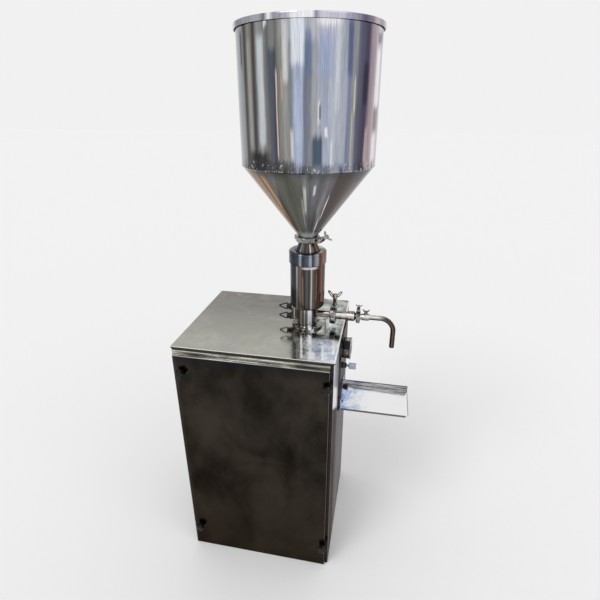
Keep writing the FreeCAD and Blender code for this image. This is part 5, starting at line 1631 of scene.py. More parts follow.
@dataclass
class Hopper:
    """The open hopper with its rim.

    Attributes:
        wall: Thickness of the sheet.
        throat: Radius of the hole at the foot.
        ferrule: Radius of the clamped flange.
        band: Height of the rim's band; not used.
        steps: Number of facets round it.
    """

    wall: float = 1.5 * MM
    throat: float = 22 * MM
    ferrule: float = 32 * MM
    band: float = 13 * MM
    steps: int = 256

    def __post_init__(self) -> None:
        """Takes the radius and the heights from the frame."""
        low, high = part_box("hopper_shell")
        self.radius = (high.x - low.x) / 2
        self.foot = low.z
        self.top = high.z
        self.joint = FERRULE_JOINT
        self.cone_top = self.joint + 215.8 * MM
        self.axes = Axes((TOWER_X, 0.0, self.joint))

    def shell(self) -> None:
        """The shell: ferrule, cone, a soft weld bead and the straight wall, outside up and inside down."""
        cone_height, height = self.cone_top - self.joint, self.top - self.joint
        foot_radius, foot_height = 28.2 * MM, 8.6 * MM
        slope = (self.radius - foot_radius) / (cone_height - foot_height)
        outside = [
            (self.throat, 0.6 * MM), (self.ferrule, 0.6 * MM), (self.ferrule, 3.4 * MM),
            (26.9 * MM, 5.6 * MM), (foot_radius, foot_height),
            (foot_radius + 4 * MM * slope, foot_height + 4 * MM),
        ]
        rise = np.linspace(16 * MM, cone_height - 6 * MM, 40)
        cone = np.stack([foot_radius + (rise - foot_height) * slope, rise], axis=-1)
        lift = np.linspace(-3.2 * MM, 3.2 * MM, 9)
        bead = 0.5 * MM * (1 - (lift / (3.2 * MM)) ** 2) ** 2
        run = np.where(lift < 0, self.radius + lift * slope, self.radius)
        seam = np.stack([run + bead, cone_height + lift], axis=-1)
        straight = np.linspace(cone_height + 6 * MM, height, 60)
        wall = np.stack([np.full_like(straight, self.radius), straight], axis=-1)
        inner_wall = np.stack([np.full_like(straight, self.radius - self.wall), straight[::-1]], axis=-1)
        inner_cone = cone[::-1] - np.array([1.9 * MM, 0])
        mouth = [(foot_radius - 1.9 * MM, foot_height), (self.throat, foot_height - 3 * MM)]
        lines = [
            rounded(outside, 0.8 * MM)[4:-4], cone, seam, wall, inner_wall, inner_cone, np.array(mouth)
        ]
        outline = np.concatenate([np.array([(self.throat, 0.6 * MM)]), *lines])
        patch = lathe(outline, self.steps)
        publish("hopper_skin", [self.axes.put(self.dented(patch))], HOPPER_STEEL, "hopper_shell")

    def dented(self, patch: Patch) -> Patch:
        """The hand-planished unevenness of the sheet.

        The radius changes by a sum of two slow waves in angle and height, up to a quarter millimetre, and
        only above the ferrule.

        Args:
            patch: The smooth shell.

        Returns:
            The shell with the waves.
        """
        x, y, z = patch.points.T
        angle = np.arctan2(y, x)
        wave = 0.14 * np.sin(5 * angle + 9 * z) + 0.11 * np.sin(9 * angle - 17 * z + 1.3)
        grow = np.clip((z - 40 * MM) / (80 * MM), 0, 1) * np.clip(
            (self.top - self.joint - z) / (30 * MM), 0, 1
        )
        factor = 1 - (0.25 - wave) * MM * grow / np.maximum(np.hypot(x, y), 1e-6)
        return Patch(np.stack([x * factor, y * factor, z], axis=-1), patch.quads, patch.caps)

    def rim(self) -> None:
        """The rim: a band folded out and down over the wall, with a rolled lower edge."""
        low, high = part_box("hopper_rim")
        outer = (high.x - low.x) / 2
        top = high.z - low.z
        sheet = 1.6 * MM
        corners = [
            (self.radius - self.wall, top), (outer - 1.2 * MM, top), (outer, top - 2.0 * MM),
            (outer, 0.0), (outer - 2.4 * MM, 0.0), (outer - 2.4 * MM, 1.2 * MM),
            (outer - sheet, 1.4 * MM), (outer - sheet, top - 2.6 * MM),
            (self.radius + 0.05 * MM, top - 2.2 * MM), (self.radius + 0.05 * MM, top - sheet),
            (self.radius - self.wall, top - sheet),
        ]
        patch = lathe(rounded(corners, 0.7 * MM), self.steps)
        axes = Axes((TOWER_X, 0.0, low.z))
        publish("rim_skin", [axes.put(patch)], RIM_STEEL, "hopper_rim")

    def build(self) -> None:
        """Makes the shell and the rim."""
        self.shell()
        self.rim()


@dataclass
class Tower:
    """Feed neck, union nut, barrel and column."""

    steps: int = 192

    def turned(
        self, name: str, node: str, corners: Corners, finish: Finish, edge: float = 0.8 * MM
    ) -> None:
        """A turned piece that takes a node's place, from corners above the node's foot.

        Args:
            name: Name of the piece.
            node: The CAD node it stands for.
            corners: Rows of radius and height.
            finish: Its finish.
            edge: Radius of its edges.
        """
        low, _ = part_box(node)
        patch = lathe(rounded(corners, edge), self.steps)
        axes = Axes((TOWER_X, 0.0, low.z))
        publish(name, [axes.put(patch)], finish, node)

    def neck(self) -> None:
        """The feed neck between union nut and hopper."""
        low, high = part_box("feed_neck")
        top = high.z - low.z
        corners = [
            (22 * MM, 0.0), (51.5 * MM, 0.0), (51.5 * MM, 6 * MM), (38.5 * MM, 6 * MM),
            (38.5 * MM, 13 * MM), (28.4 * MM, 32 * MM), (25.4 * MM, top - 7 * MM),
            (26.9 * MM, top - 5 * MM), (32 * MM, top - 2.8 * MM), (32 * MM, top), (22 * MM, top),
        ]
        self.turned("neck_skin", "feed_neck", corners, BARREL_STEEL)

    def union_nut(self) -> None:
        """The union nut with a fine groove near each end."""
        low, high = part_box("collar_nut")
        outer, top = (high.x - low.x) / 2, high.z - low.z
        corners = [
            (52.8 * MM, 0.0), (outer - 1.6 * MM, 0.0), (outer, 1.6 * MM), (outer, 5.2 * MM),
            (outer - 0.7 * MM, 5.5 * MM), (outer - 0.7 * MM, 6.3 * MM), (outer, 6.6 * MM),
            (outer, top - 9.0 * MM), (outer - 0.7 * MM, top - 8.7 * MM),
            (outer - 0.7 * MM, top - 7.9 * MM), (outer, top - 7.6 * MM), (outer, top - 3.4 * MM),
            (outer - 3.4 * MM, top), (39.5 * MM, top), (39.5 * MM, top - 6 * MM),
            (52.8 * MM, top - 6 * MM),
        ]
        self.turned("union_nut_skin", "collar_nut", corners, NUT_STEEL, 0.5 * MM)

    def barrel(self) -> None:
        """The barrel with its floor."""
        low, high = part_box("barrel")
        outer, top = (high.x - low.x) / 2, high.z - low.z
        relief = top - 25.2 * MM
        corners = [
            (26 * MM, 0.0), (outer - 6 * MM, 0.0), (outer - 1.8 * MM, 4.2 * MM), (outer, 8.5 * MM),
            (outer, relief - 2 * MM), (outer - 2 * MM, relief), (outer - 2 * MM, top), (50 * MM, top),
            (50 * MM, 8 * MM), (26 * MM, 8 * MM),
        ]
        self.turned("barrel_skin", "barrel", corners, BARREL_STEEL, 1.0 * MM)

    def column(self) -> None:
        """The column: flanged tube, outlet port with weld bead and ferrule, clean-out pad and studs."""
        low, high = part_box("column")
        top = high.z - low.z
        base = Axes((TOWER_X, 0.0, low.z))
        corners = [
            (8.2 * MM, 0.0), (50 * MM, 0.0), (50 * MM, 6 * MM), (35 * MM, 6 * MM),
            (33.4 * MM, 6.9 * MM), (33 * MM, 8.4 * MM), (33 * MM, top), (26 * MM, top),
            (26 * MM, 14 * MM), (14.2 * MM, 14 * MM), (14.2 * MM, 4 * MM), (8.2 * MM, 4 * MM),
        ]
        tube = base.put(lathe(rounded(corners, 0.7 * MM), self.steps))
        start = 28 * MM
        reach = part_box("column")[1].x - TOWER_X - start
        port = [
            (8 * MM, 0.0), (8 * MM, reach), (25.2 * MM, reach), (25.2 * MM, reach - 2.8 * MM),
            (12.5 * MM, reach - 5 * MM), (11 * MM, reach - 7 * MM), (11 * MM, 0.0),
        ]
        outlet = Axes((TOWER_X + start, 0.0, OUTLET_Z), *Way.RIGHT.value)
        patches = [tube, outlet.put(lathe(rounded(port, 0.6 * MM), 72))]
        patches.append(base.put(self.weld(11 * MM, 33 * MM, OUTLET_Z - low.z, 1.0)))
        pad = rounded(
            [(-26 * MM, -15 * MM), (26 * MM, -15 * MM), (26 * MM, 15 * MM), (-26 * MM, 15 * MM)],
            15 * MM, 10
        )
        pad_axes = Axes((TOWER_X - 21 * MM, 0.0, OUTLET_Z), *Way.LEFT.value)
        patches.append(pad_axes.put(slab(pad, 19 * MM, 0.8 * MM)))
        for sign in (-1, 1):
            stud = pole_outline([(0, 0), (3 * MM, 0), (3 * MM, 30 * MM), (0, 30 * MM)], 0.5 * MM)
            axes = Axes((TOWER_X - 32 * MM, 0.0, OUTLET_Z + sign * 17 * MM), *Way.LEFT.value)
            patches.append(axes.put(lathe(stud, 24)))
        publish("column_skin", patches, COLUMN_STEEL, "column")

    @staticmethod
    def weld(pipe: float, tube: float, height: float, side: float) -> Patch:
        """The bead where a pipe meets the column's tube.

        Its middle line is the curve in which the two cylinders cut each other: at the angle a round the pipe
        the point is (sqrt(tube^2 - (pipe cos a)^2), pipe cos a, height + pipe sin a). A small circle in the
        plane of the outward and the pipe's radial direction is carried along it, with slow ripples.

        Args:
            pipe: Radius of the pipe.
            tube: Radius of the tube.
            height: Height of the pipe's axis.
            side: 1 for a pipe to the right, -1 for one to the left.

        Returns:
            The bead.
        """
        angle = np.linspace(0, TURN, 72, endpoint=False)[:, None]
        around = np.linspace(0, TURN, 10, endpoint=False)[None, :]
        across, up = pipe * np.cos(angle), pipe * np.sin(angle)
        out = np.sqrt(tube**2 - across**2)
        size = 1.5 * MM * (1 + 0.12 * np.sin(24 * angle))
        points = np.stack(
            [
                side * (out + size * np.cos(around)),
                across + size * np.sin(around) * np.cos(angle),
                height + up + size * np.sin(around) * np.sin(angle),
            ],
            axis=-1,
        )
        return Patch(points.reshape(-1, 3), grid_quads(72, 10, True, True))

    def build(self) -> None:
        """Makes the four pieces."""
        self.neck()
        self.union_nut()
        self.barrel()
        self.column()


@dataclass
class RingClamp:
    """A hinged two-part ring clamp with its T-bolt and wing nut.

    Attributes:
        name: Name of its CAD node.
        nut: Name of its wing nut's CAD node.
        axes: Its middle; x points to the bolt's side, y along the bolt, z along the ring's axis.
        outer: Outside radius.
        ferrule: Radius of the clamped flanges.
        half_width: Half its width.
        lug: Height of a lug.
        scale: Size of bolt and nut.
        wing_turn: Turn of the wings about the bolt, from the ring's axis towards the bolt's side.
    """

    name: str
    nut: str
    axes: Axes
    outer: float
    ferrule: float
    half_width: float
    lug: float
    scale: float = 1.0
    wing_turn: float = 0.0

    def __post_init__(self) -> None:
        """Works out the bolt's radius and its distance from the ring's axis."""
        self.shank = 3 * MM * self.scale
        self.bolt_out = self.outer + 4 * MM + 3 * MM * self.scale

    def half(self, sign: int) -> list[Patch]:
        """One half ring: a grooved arc, a two-armed lug and its hinge knuckles.

        Args:
            sign: 1 for the half on the bolt's way, -1 for the other.

        Returns:
            Its surfaces.
        """
        wide = self.half_width
        inner = self.ferrule - min(3.6 * MM, 0.15 * self.ferrule)
        corners = [
            (inner, -wide), (self.outer - 2 * MM, -wide), (self.outer, 2 * MM - wide),
            (self.outer, wide - 2 * MM), (self.outer - 2 * MM, wide), (inner, wide), (inner, 5.2 * MM),
            (self.ferrule + 0.3 * MM, 3.6 * MM), (self.ferrule + 0.3 * MM, -3.6 * MM),
            (inner, -5.2 * MM),
        ]
        split = 1.5 * MM / self.outer
        sweep = (split, math.pi - split) if sign > 0 else (math.pi + split, TURN - split)
        patches = [lathe(rounded(corners, 1.0 * MM), 56, sweep)]
        slot = self.shank + 0.5 * MM
        arm = wide - 1.5 * MM
        far = self.bolt_out + self.shank + 3 * MM
        near_y, far_y = sorted((sign * 1.5 * MM, sign * self.lug))
        for side in (-1, 1):
            low_z, high_z = sorted((side * slot, side * arm))
            low = (self.ferrule + 1.2 * MM, near_y, low_z)
            patches.append(brick(low, (far, far_y, high_z), 1.1 * MM * self.scale))
        root = self.bolt_out - self.shank - 0.5 * MM
        patches.append(
            brick((self.ferrule + 1.2 * MM, near_y, -arm), (root, far_y, arm), 1.1 * MM * self.scale)
        )
        third, gap = arm / 3, 0.1 * MM
        spans = ((-arm, -third - gap), (third + gap, arm)) if sign > 0 else ((gap - third, third - gap),)
        radius = 5.2 * MM * self.scale
        pivot = -(self.outer + 0.6 * radius)
        for start, end in spans:
            outline = pole_outline([(0, start), (radius, start), (radius, end), (0, end)], 0.6 * MM)
            knuckle = lathe(outline, 32)
            patches.append(Patch(knuckle.points + np.array([pivot, 0, 0]), knuckle.quads, knuckle.caps))
        return [self.axes.put(patch) for patch in patches]

    def wing_nut(self) -> list[Patch]:
        """The waisted nut and its two looped wings.

        Returns:
            Its surfaces.
        """
        size = self.scale * MM
        bore = self.shank + 0.05 * MM
        seat = self.lug + 0.2 * MM
        hub = [
            (bore, 0), (7.5 * size, 0), (7.5 * size, 7 * size), (5.2 * size, 11 * size),
            (5.2 * size, 20 * size), (6.8 * size, 25 * size), (6.8 * size, 33 * size),
            (5.6 * size, 35 * size), (bore, 35 * size),
        ]
        own = self.axes
        bolt = Axes(own.origin, own.z, tuple(np.cross(own.y, own.z)), own.y).moved(z=seat)
        shift = self.bolt_out
        base = Axes(tuple(np.array(bolt.origin) + shift * np.array(own.x)), bolt.x, bolt.y, bolt.z)
        patches = [base.put(lathe(rounded(hub, 0.9 * size), 40))]
        spread = math.cos(self.wing_turn) * np.array(own.z) + math.sin(self.wing_turn) * np.array(own.x)
        wings = Axes(base.origin, tuple(spread), tuple(np.cross(own.y, spread)), own.y)
        for sign in (-1, 1):
            loop = [
                (5.4, 27), (9.4, 28.3), (15.6, 36.3), (17.6, 41.4), (16.4, 43.2), (12.8, 40.6), (5.4, 31.5)
            ]
            line = rounded([(sign * across * size, along * size) for across, along in loop], 3 * size, 5)
            path = np.stack([line[:, 0], 0 * line[:, 0], line[:, 1]], axis=-1)
            patches.append(wings.put(carried(path, oval(3.0 * size, 2.6 * size, 12, 2.6), (0, 1, 0), True)))
        return patches

    def t_bolt(self) -> list[Patch]:
        """The bolt with its cross head, a chamfered end and thread ridges above the nut.

        Returns:
            Its surfaces.
        """
        wide = self.half_width - 1.5 * MM
        head = self.shank + 0.8 * MM
        own = self.axes
        middle_line = own.moved(x=self.bolt_out, y=-self.lug - head)
        cross_outline = pole_outline([(0, -wide), (head, -wide), (head, wide), (0, wide)], 0.7 * MM)
        patches = [middle_line.put(lathe(cross_outline, 36))]
        length = 2 * self.lug + head + 35 * MM * self.scale + 2 * MM
        thread = np.arange(self.lug * 2 + head + 31 * MM * self.scale, length - 1.2 * MM, 0.5 * MM)
        ridge = self.shank - 0.35 * MM * (np.arange(len(thread)) % 2)
        rod = np.concatenate(
            [
                [(0, 0), (self.shank, 0)],
                np.stack([ridge, thread], axis=-1),
                [(self.shank - 0.8 * MM, length), (0, length)],
            ]
        )
        bolt = Axes(middle_line.origin, own.z, tuple(np.cross(own.y, own.z)), own.y)
        patches.append(bolt.put(lathe(rod, 28)))
        return patches

    def build(self) -> list[Patch]:
        """Makes the halves and the nut, and hands back the bolt's surfaces for the shared bolt piece."""
        halves = self.half(1) + self.half(-1)
        publish(self.name + "_skin", halves, CLAMP_STEEL, self.name)
        publish(self.nut + "_skin", self.wing_nut(), CLAMP_STEEL, self.nut)
        return self.t_bolt()


def build_clamps() -> None:
    """The three clamps; their bolts are one piece, as in the frame."""
    outlet = Axes((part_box("outlet_clamp")[0].x + 9.5 * MM, 0.0, OUTLET_Z), *Way.RIGHT.value)
    spout = Axes((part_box("spout_clamp")[0].x + 7 * MM, 0.0, OUTLET_Z), *Way.LEFT.value)
    aside = math.radians(-17)
    ways = (math.cos(aside), math.sin(aside), 0.0), (
        -math.sin(aside), math.cos(aside), 0.0
    ), (0.0, 0.0, 1.0)
    hopper = Axes((TOWER_X, 0.0, FERRULE_JOINT), *ways)
    wings = math.radians(-45)
    clamps = (
        RingClamp("hopper_clamp", "hopper_wing_nut", hopper, 37 * MM, 32 * MM, 8 * MM, 11 * MM, 1.0, wings),
        RingClamp("outlet_clamp", "outlet_wing_nut", outlet, 30 * MM, 25.2 * MM, 9.5 * MM, 12 * MM, 1.25),
        RingClamp("spout_clamp", "spout_wing_nut", spout, 19 * MM, 14 * MM, 7 * MM, 8 * MM, 0.6),
    )
    bolts = [patch for clamp in clamps for patch in clamp.build()]
    publish("clamp_bolts_skin", bolts, BOLT_STEEL, "clamp_bolts")


@dataclass
class OutletLine:
    """The valve bodies, the socket with its wing screw, and the bent spout.

    Attributes:
        pipe: Outside radius of the spout.
        bore: Its inside radius.
        bend: Radius of its bend.
    """

    pipe: float = 8 * MM
    bore: float = 6.5 * MM
    bend: float = 43 * MM

    def along(self, node: str, corners: Corners, finish: Finish, edge: float = 0.6 * MM) -> None:
        """A turned piece on the outlet's axis, from corners given from the node's left end.

        Args:
            node: The CAD node it stands for.
            corners: Rows of radius and distance.
            finish: Its finish.
            edge: Radius of its edges.
        """
        low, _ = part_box(node)
        axes = Axes((low.x, 0.0, OUTLET_Z), *Way.RIGHT.value)
        patch = axes.put(lathe(rounded(corners, edge), 96))
        publish(node + "_skin", [patch], finish, node)

    def bodies(self) -> None:
        """Inlet body with two wrench rings, and outlet body with a ribbed grip."""
        low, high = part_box("valve_inlet_body")
        end = high.x - low.x
        inlet = [
            (8 * MM, 0.0), (25.2 * MM, 0.0), (25.2 * MM, 2.8 * MM), (15 * MM, 5 * MM),
            (13.5 * MM, 7 * MM), (13.5 * MM, end - 10 * MM), (12.2 * MM, end - 10 * MM),
            (12.2 * MM, end), (6 * MM, end), (6 * MM, end - 6 * MM), (8 * MM, end - 9 * MM),
        ]
        self.along("valve_inlet_body", inlet, PIPE_STEEL)
        low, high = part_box("valve_outlet_body")
        end = high.x - low.x
        outlet = [
            (12.2 * MM, 0.0), (15 * MM, 0.0), (16 * MM, 1 * MM), (16 * MM, 8.6 * MM),
            (15.3 * MM, 9.1 * MM), (15.3 * MM, 10.4 * MM), (16 * MM, 10.9 * MM), (16 * MM, 21 * MM),
            (13 * MM, 24 * MM), (9 * MM, end - 6.9 * MM), (10.5 * MM, end - 5 * MM),
            (14 * MM, end - 2.8 * MM), (14 * MM, end), (6.5 * MM, end), (6.5 * MM, 25 * MM),
            (12.2 * MM, 19 * MM),
        ]
        self.along("valve_outlet_body", outlet, PIPE_STEEL)

    def socket(self) -> None:
        """The spout's socket with its boss, and the wing screw on top."""
        low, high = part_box("spout_socket")
        end = high.x - low.x
        bore = self.pipe + 0.05 * MM
        corners = [
            (self.bore, 0.0), (14 * MM, 0.0), (14 * MM, 2.8 * MM), (10.5 * MM, 5 * MM),
            (9 * MM, 7 * MM), (9 * MM, end - 23 * MM), (11 * MM, end - 22 * MM),
            (11 * MM, end - 1 * MM), (10 * MM, end), (bore, end), (bore, end - 22 * MM),
            (self.bore, end - 22 * MM),
        ]
        axes = Axes((low.x, 0.0, OUTLET_Z), *Way.RIGHT.value)
        screw_x = high.x - 11 * MM
        boss_outline = rounded(
            [(2.55 * MM, 9 * MM), (5.5 * MM, 9 * MM), (5.5 * MM, 14 * MM), (2.55 * MM, 14 * MM)], 0.5 * MM
        )
        boss = Axes((screw_x, 0.0, OUTLET_Z))
        patches = [axes.put(lathe(rounded(corners, 0.5 * MM), 96)), boss.put(lathe(boss_outline, 48))]
        publish("spout_socket_skin", patches, PIPE_STEEL, "spout_socket")
        self.wing_screw(boss)

    def wing_screw(self, boss: Axes) -> None:
        """The small wing screw: a stud, a hub and two rounded ears.

        Args:
            boss: Place of the screw's axis at the height of the outlet's axis.
        """
        seat = 14.2 * MM
        stud = pole_outline(
            [(0, 8.2 * MM), (2.5 * MM, 8.2 * MM), (2.5 * MM, seat + 1 * MM), (0, seat + 1 * MM)], 0.4 * MM
        )
        hub = pole_outline(
            [
                (0, 0), (5 * MM, 0), (5 * MM, 4 * MM), (3.5 * MM, 6 * MM), (3.5 * MM, 8 * MM), (0, 8 * MM)
            ], 0.7 * MM
        )
        ears = [(-4, 2), (4, 2), (9, 6), (11.5, 11), (10.5, 13), (7, 12), (3.4, 7), (-3.4, 7), (-7, 12)]
        ears += [(-10.5, 13), (-11.5, 11), (-9, 6)]
        outline = rounded([(across * MM, along * MM) for across, along in ears], 2.2 * MM, 5)
        ear_axes = Axes((boss.origin[0], 1.2 * MM, OUTLET_Z + seat), (1, 0, 0), (0, 0, 1), (0, -1, 0))
        patches = [
            boss.put(lathe(stud, 24)),
            boss.moved(z=seat).put(lathe(hub, 40)),
            ear_axes.put(slab(outline, 2.4 * MM, 0.7 * MM)),
        ]
        publish("spout_screw_skin", patches, CLAMP_STEEL, "spout_wing_screw")

    def spout(self) -> None:
        """The spout: a tube along a straight, a quarter circle and a drop, open at both ends.

        The outside is carried forwards and the inside back along the same path, so the surface closes on
        itself round the rims of both ends.
        """
        low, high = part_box("spout")
        start = low.x
        leg = high.x - self.pipe
        tip = low.z
        turn_x, turn_z = leg - self.bend, OUTLET_Z - self.bend
        straight = np.linspace(start, turn_x, 14, endpoint=False)
        angle = np.linspace(0, math.pi / 2, 30)
        drop = np.linspace(turn_z, tip, 12)[1:]
        path = np.concatenate(
            [
                np.stack([straight, 0 * straight, 0 * straight + OUTLET_Z], axis=-1),
                np.stack(
                    [turn_x + self.bend * np.sin(angle), 0 * angle, turn_z + self.bend * np.cos(angle)],
                    axis=-1
                ),
                np.stack([0 * drop + leg, 0 * drop, drop], axis=-1),
            ]
        )
        ahead = np.gradient(path, axis=0)
        ahead = ahead / np.linalg.norm(ahead, axis=1, keepdims=True)
        side = np.cross((0, 1, 0), ahead)
        around = np.linspace(0, TURN, 48, endpoint=False)
        circle = np.cos(around)[None, :, None] * side[:, None] + np.sin(around)[
            None, :, None
        ] * np.array([0, 1, 0])
        radii = np.full(len(path), self.pipe)
        radii[[0, -1]] -= 0.2 * MM
        outside = path[:, None] + circle * radii[:, None, None]
        inside = (path[:, None] + circle * self.bore)[::-1]
        points = np.concatenate([outside, inside]).reshape(-1, 3)
        patch = Patch(points, grid_quads(2 * len(path), 48, True, True)).outward()
        publish("spout_skin", [patch], SPOUT_STEEL, "spout")

    def build(self) -> None:
        """Makes every piece of the outlet line after the clamps."""
        self.bodies()
        self.socket()
        self.spout()
        painted("valve_ball", TURNED_STEEL)


@dataclass
class CleanOut:
    """The cover on the column's left with its two looped thumb screws.

    Attributes:
        pitch: Distance of the screws from the outlet's height.
    """

    pitch: float = 17 * MM

    def cover(self) -> None:
        """The cover: a plate with round ends and softened edges."""
        low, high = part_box("cleanout_cover")
        half_height, half_width = (high.z - low.z) / 2, (high.y - low.y) / 2
        corners = [
            (-half_height, -half_width), (half_height, -half_width), (half_height, half_width),
            (-half_height, half_width)
        ]
        outline = rounded(corners, half_width, 12)
        axes = Axes((high.x, 0.0, OUTLET_Z), *Way.LEFT.value)
        patch = axes.put(slab(outline, high.x - low.x, 1.2 * MM))
        publish("cleanout_cover_skin", [patch], COVER_STEEL, "cleanout_cover")

    def screw(self, name: str, height: float) -> None:
        """A thumb screw: stepped hub and a triangular loop of flattened rod.

        Args:
            name: Name of its CAD node.
            height: Height of its axis.
        """
        _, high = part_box(name)
        seat = high.x
        axes = Axes((seat, 0.0, height), *Way.LEFT.value)
        bore = 3.05 * MM
        profile = [(11.5, 0), (11.5, 8), (9.5, 10), (9.5, 16), (6, 18.5)]
        hub = [(bore, 0), *[(radius * MM, rise * MM) for radius, rise in profile], (bore, 18.5 * MM)]
        loop = [(16.2, -10.2), (22.4, -9.4), (42.4, -1.4), (42.4, 1.4), (22.4, 9.4), (16.2, 10.2)]
        line = rounded([(across * MM, along * MM) for along, across in loop], 4 * MM, 6)
        path = np.stack([line[:, 0], 0 * line[:, 0], line[:, 1]], axis=-1)
        patches = [
            axes.put(lathe(rounded(hub, 0.9 * MM), 48)),
            axes.put(carried(path, oval(4.0 * MM, 4.0 * MM, 14, 2.4), (0, 1, 0), True)),
        ]
        publish(name + "_skin", patches, BLACK_PLASTIC, name)

    def build(self) -> None:
        """Makes the cover and both screws."""
        self.cover()
        self.screw("thumb_screw_lower", OUTLET_Z - self.pitch)
        self.screw("thumb_screw_upper", OUTLET_Z + self.pitch)


@dataclass
class Cabinet:
    """Frame, walls, top plate and front panel, with the frame's hidden parts.

    Attributes:
        edge: Width of the rounding on sheet edges.
    """

    edge: float = 0.7 * MM

    def build(self) -> None:
        """Dresses every piece of the cabinet."""
        dressed_copy("cabinet_frame", FRAME_STEEL, 1.2 * MM)
        lip = brick((-244.5 * MM, -217.6 * MM, 803 * MM), (236.5 * MM, -216.2 * MM, 824 * MM), 0.4 * MM)
        publish("rail_lip_skin", [lip], FRAME_STEEL, "cabinet_frame", stands_for=False)
        dressed_copy("top_plate", TOP_STEEL, 0.9 * MM)
        dressed_copy("left_panel", WALL_STEEL, self.edge * 0.8)
        dressed_copy("right_panel", SIDE_STEEL, self.edge * 0.8)
        dressed_copy("rear_panel", WALL_STEEL, self.edge * 0.4)
        dressed_copy("front_panel", FRONT_STEEL, self.edge)
        painted("floor_panel", FLOOR_STEEL)
        dressed_copy("support_plate", TURNED_STEEL, self.edge)
        dressed_copy("column_bolts", BOLT_STEEL, 0.5 * MM)
        dressed_copy("air_inlet", BRASS, 0.5 * MM)


@dataclass
class FrontKnobs:
    """The four black lobed knobs of the front panel.

    Attributes:
        core: Radius between the lobes.
        outer: Radius over the lobes.
        lobes: Number of lobes.
        head: Thickness of the head.
        neck: Length of the neck.
    """

    core: float = 10.2 * MM
    outer: float = 15.5 * MM
    lobes: int = 5
    head: float = 13 * MM
    neck: float = 7 * MM

    def lobed(self, angle: np.ndarray) -> np.ndarray:
        """Radius factor: the core plus half a wave to the power 0.8 on each lobe."""
        wave = 0.5 + 0.5 * np.cos(self.lobes * angle)
        return (self.core + (self.outer - self.core) * wave**0.8) / self.outer

    def knob(self, name: str) -> None:
        """One knob: neck, domed lobed head and stud.

        Args:
            name: Name of its CAD node.
        """
        low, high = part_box(name)
        centre_x, _, centre_z = middle(name)
        stud_end = high.y
        back = low.y + self.head + self.neck
        front = low.y
        axes = Axes((centre_x, 0.0, centre_z), (1, 0, 0), (0, 0, -1), (0, 1, 0))
        dome = [
            (0, front + 1.4 * MM), (self.outer * 0.42, front + 0.4 * MM),
            (self.outer * 0.84, front + 1.2 * MM), (self.outer, front + 4.5 * MM),
            (self.outer, front + self.head - 3 * MM), (self.outer * 0.82, front + self.head),
            (0, front + self.head),
        ]
        neck = [
            (0, back - self.neck - 1 * MM), (8 * MM, back - self.neck - 1 * MM), (8.6 * MM, back), (0, back)
        ]
        stud = [(0, back - 1 * MM), (4 * MM, back - 1 * MM), (4 * MM, stud_end), (0, stud_end)]
        patches = [
            axes.put(
                lathe(pole_outline(dome, 1.8 * MM), 90, scale=self.lobed, scaled_from=self.outer * 0.5)
            ),
            axes.put(lathe(pole_outline(neck, 0.8 * MM), 48)),
            axes.put(lathe(pole_outline(stud, 0.5 * MM), 32)),
        ]
        publish(name + "_skin", patches, BLACK_PLASTIC, name)

    def build(self) -> None:
        """Makes all four."""
        for row in ("lower", "upper"):
            for side in ("left", "right"):
                self.knob(f"front_knob_{row}_{side}")


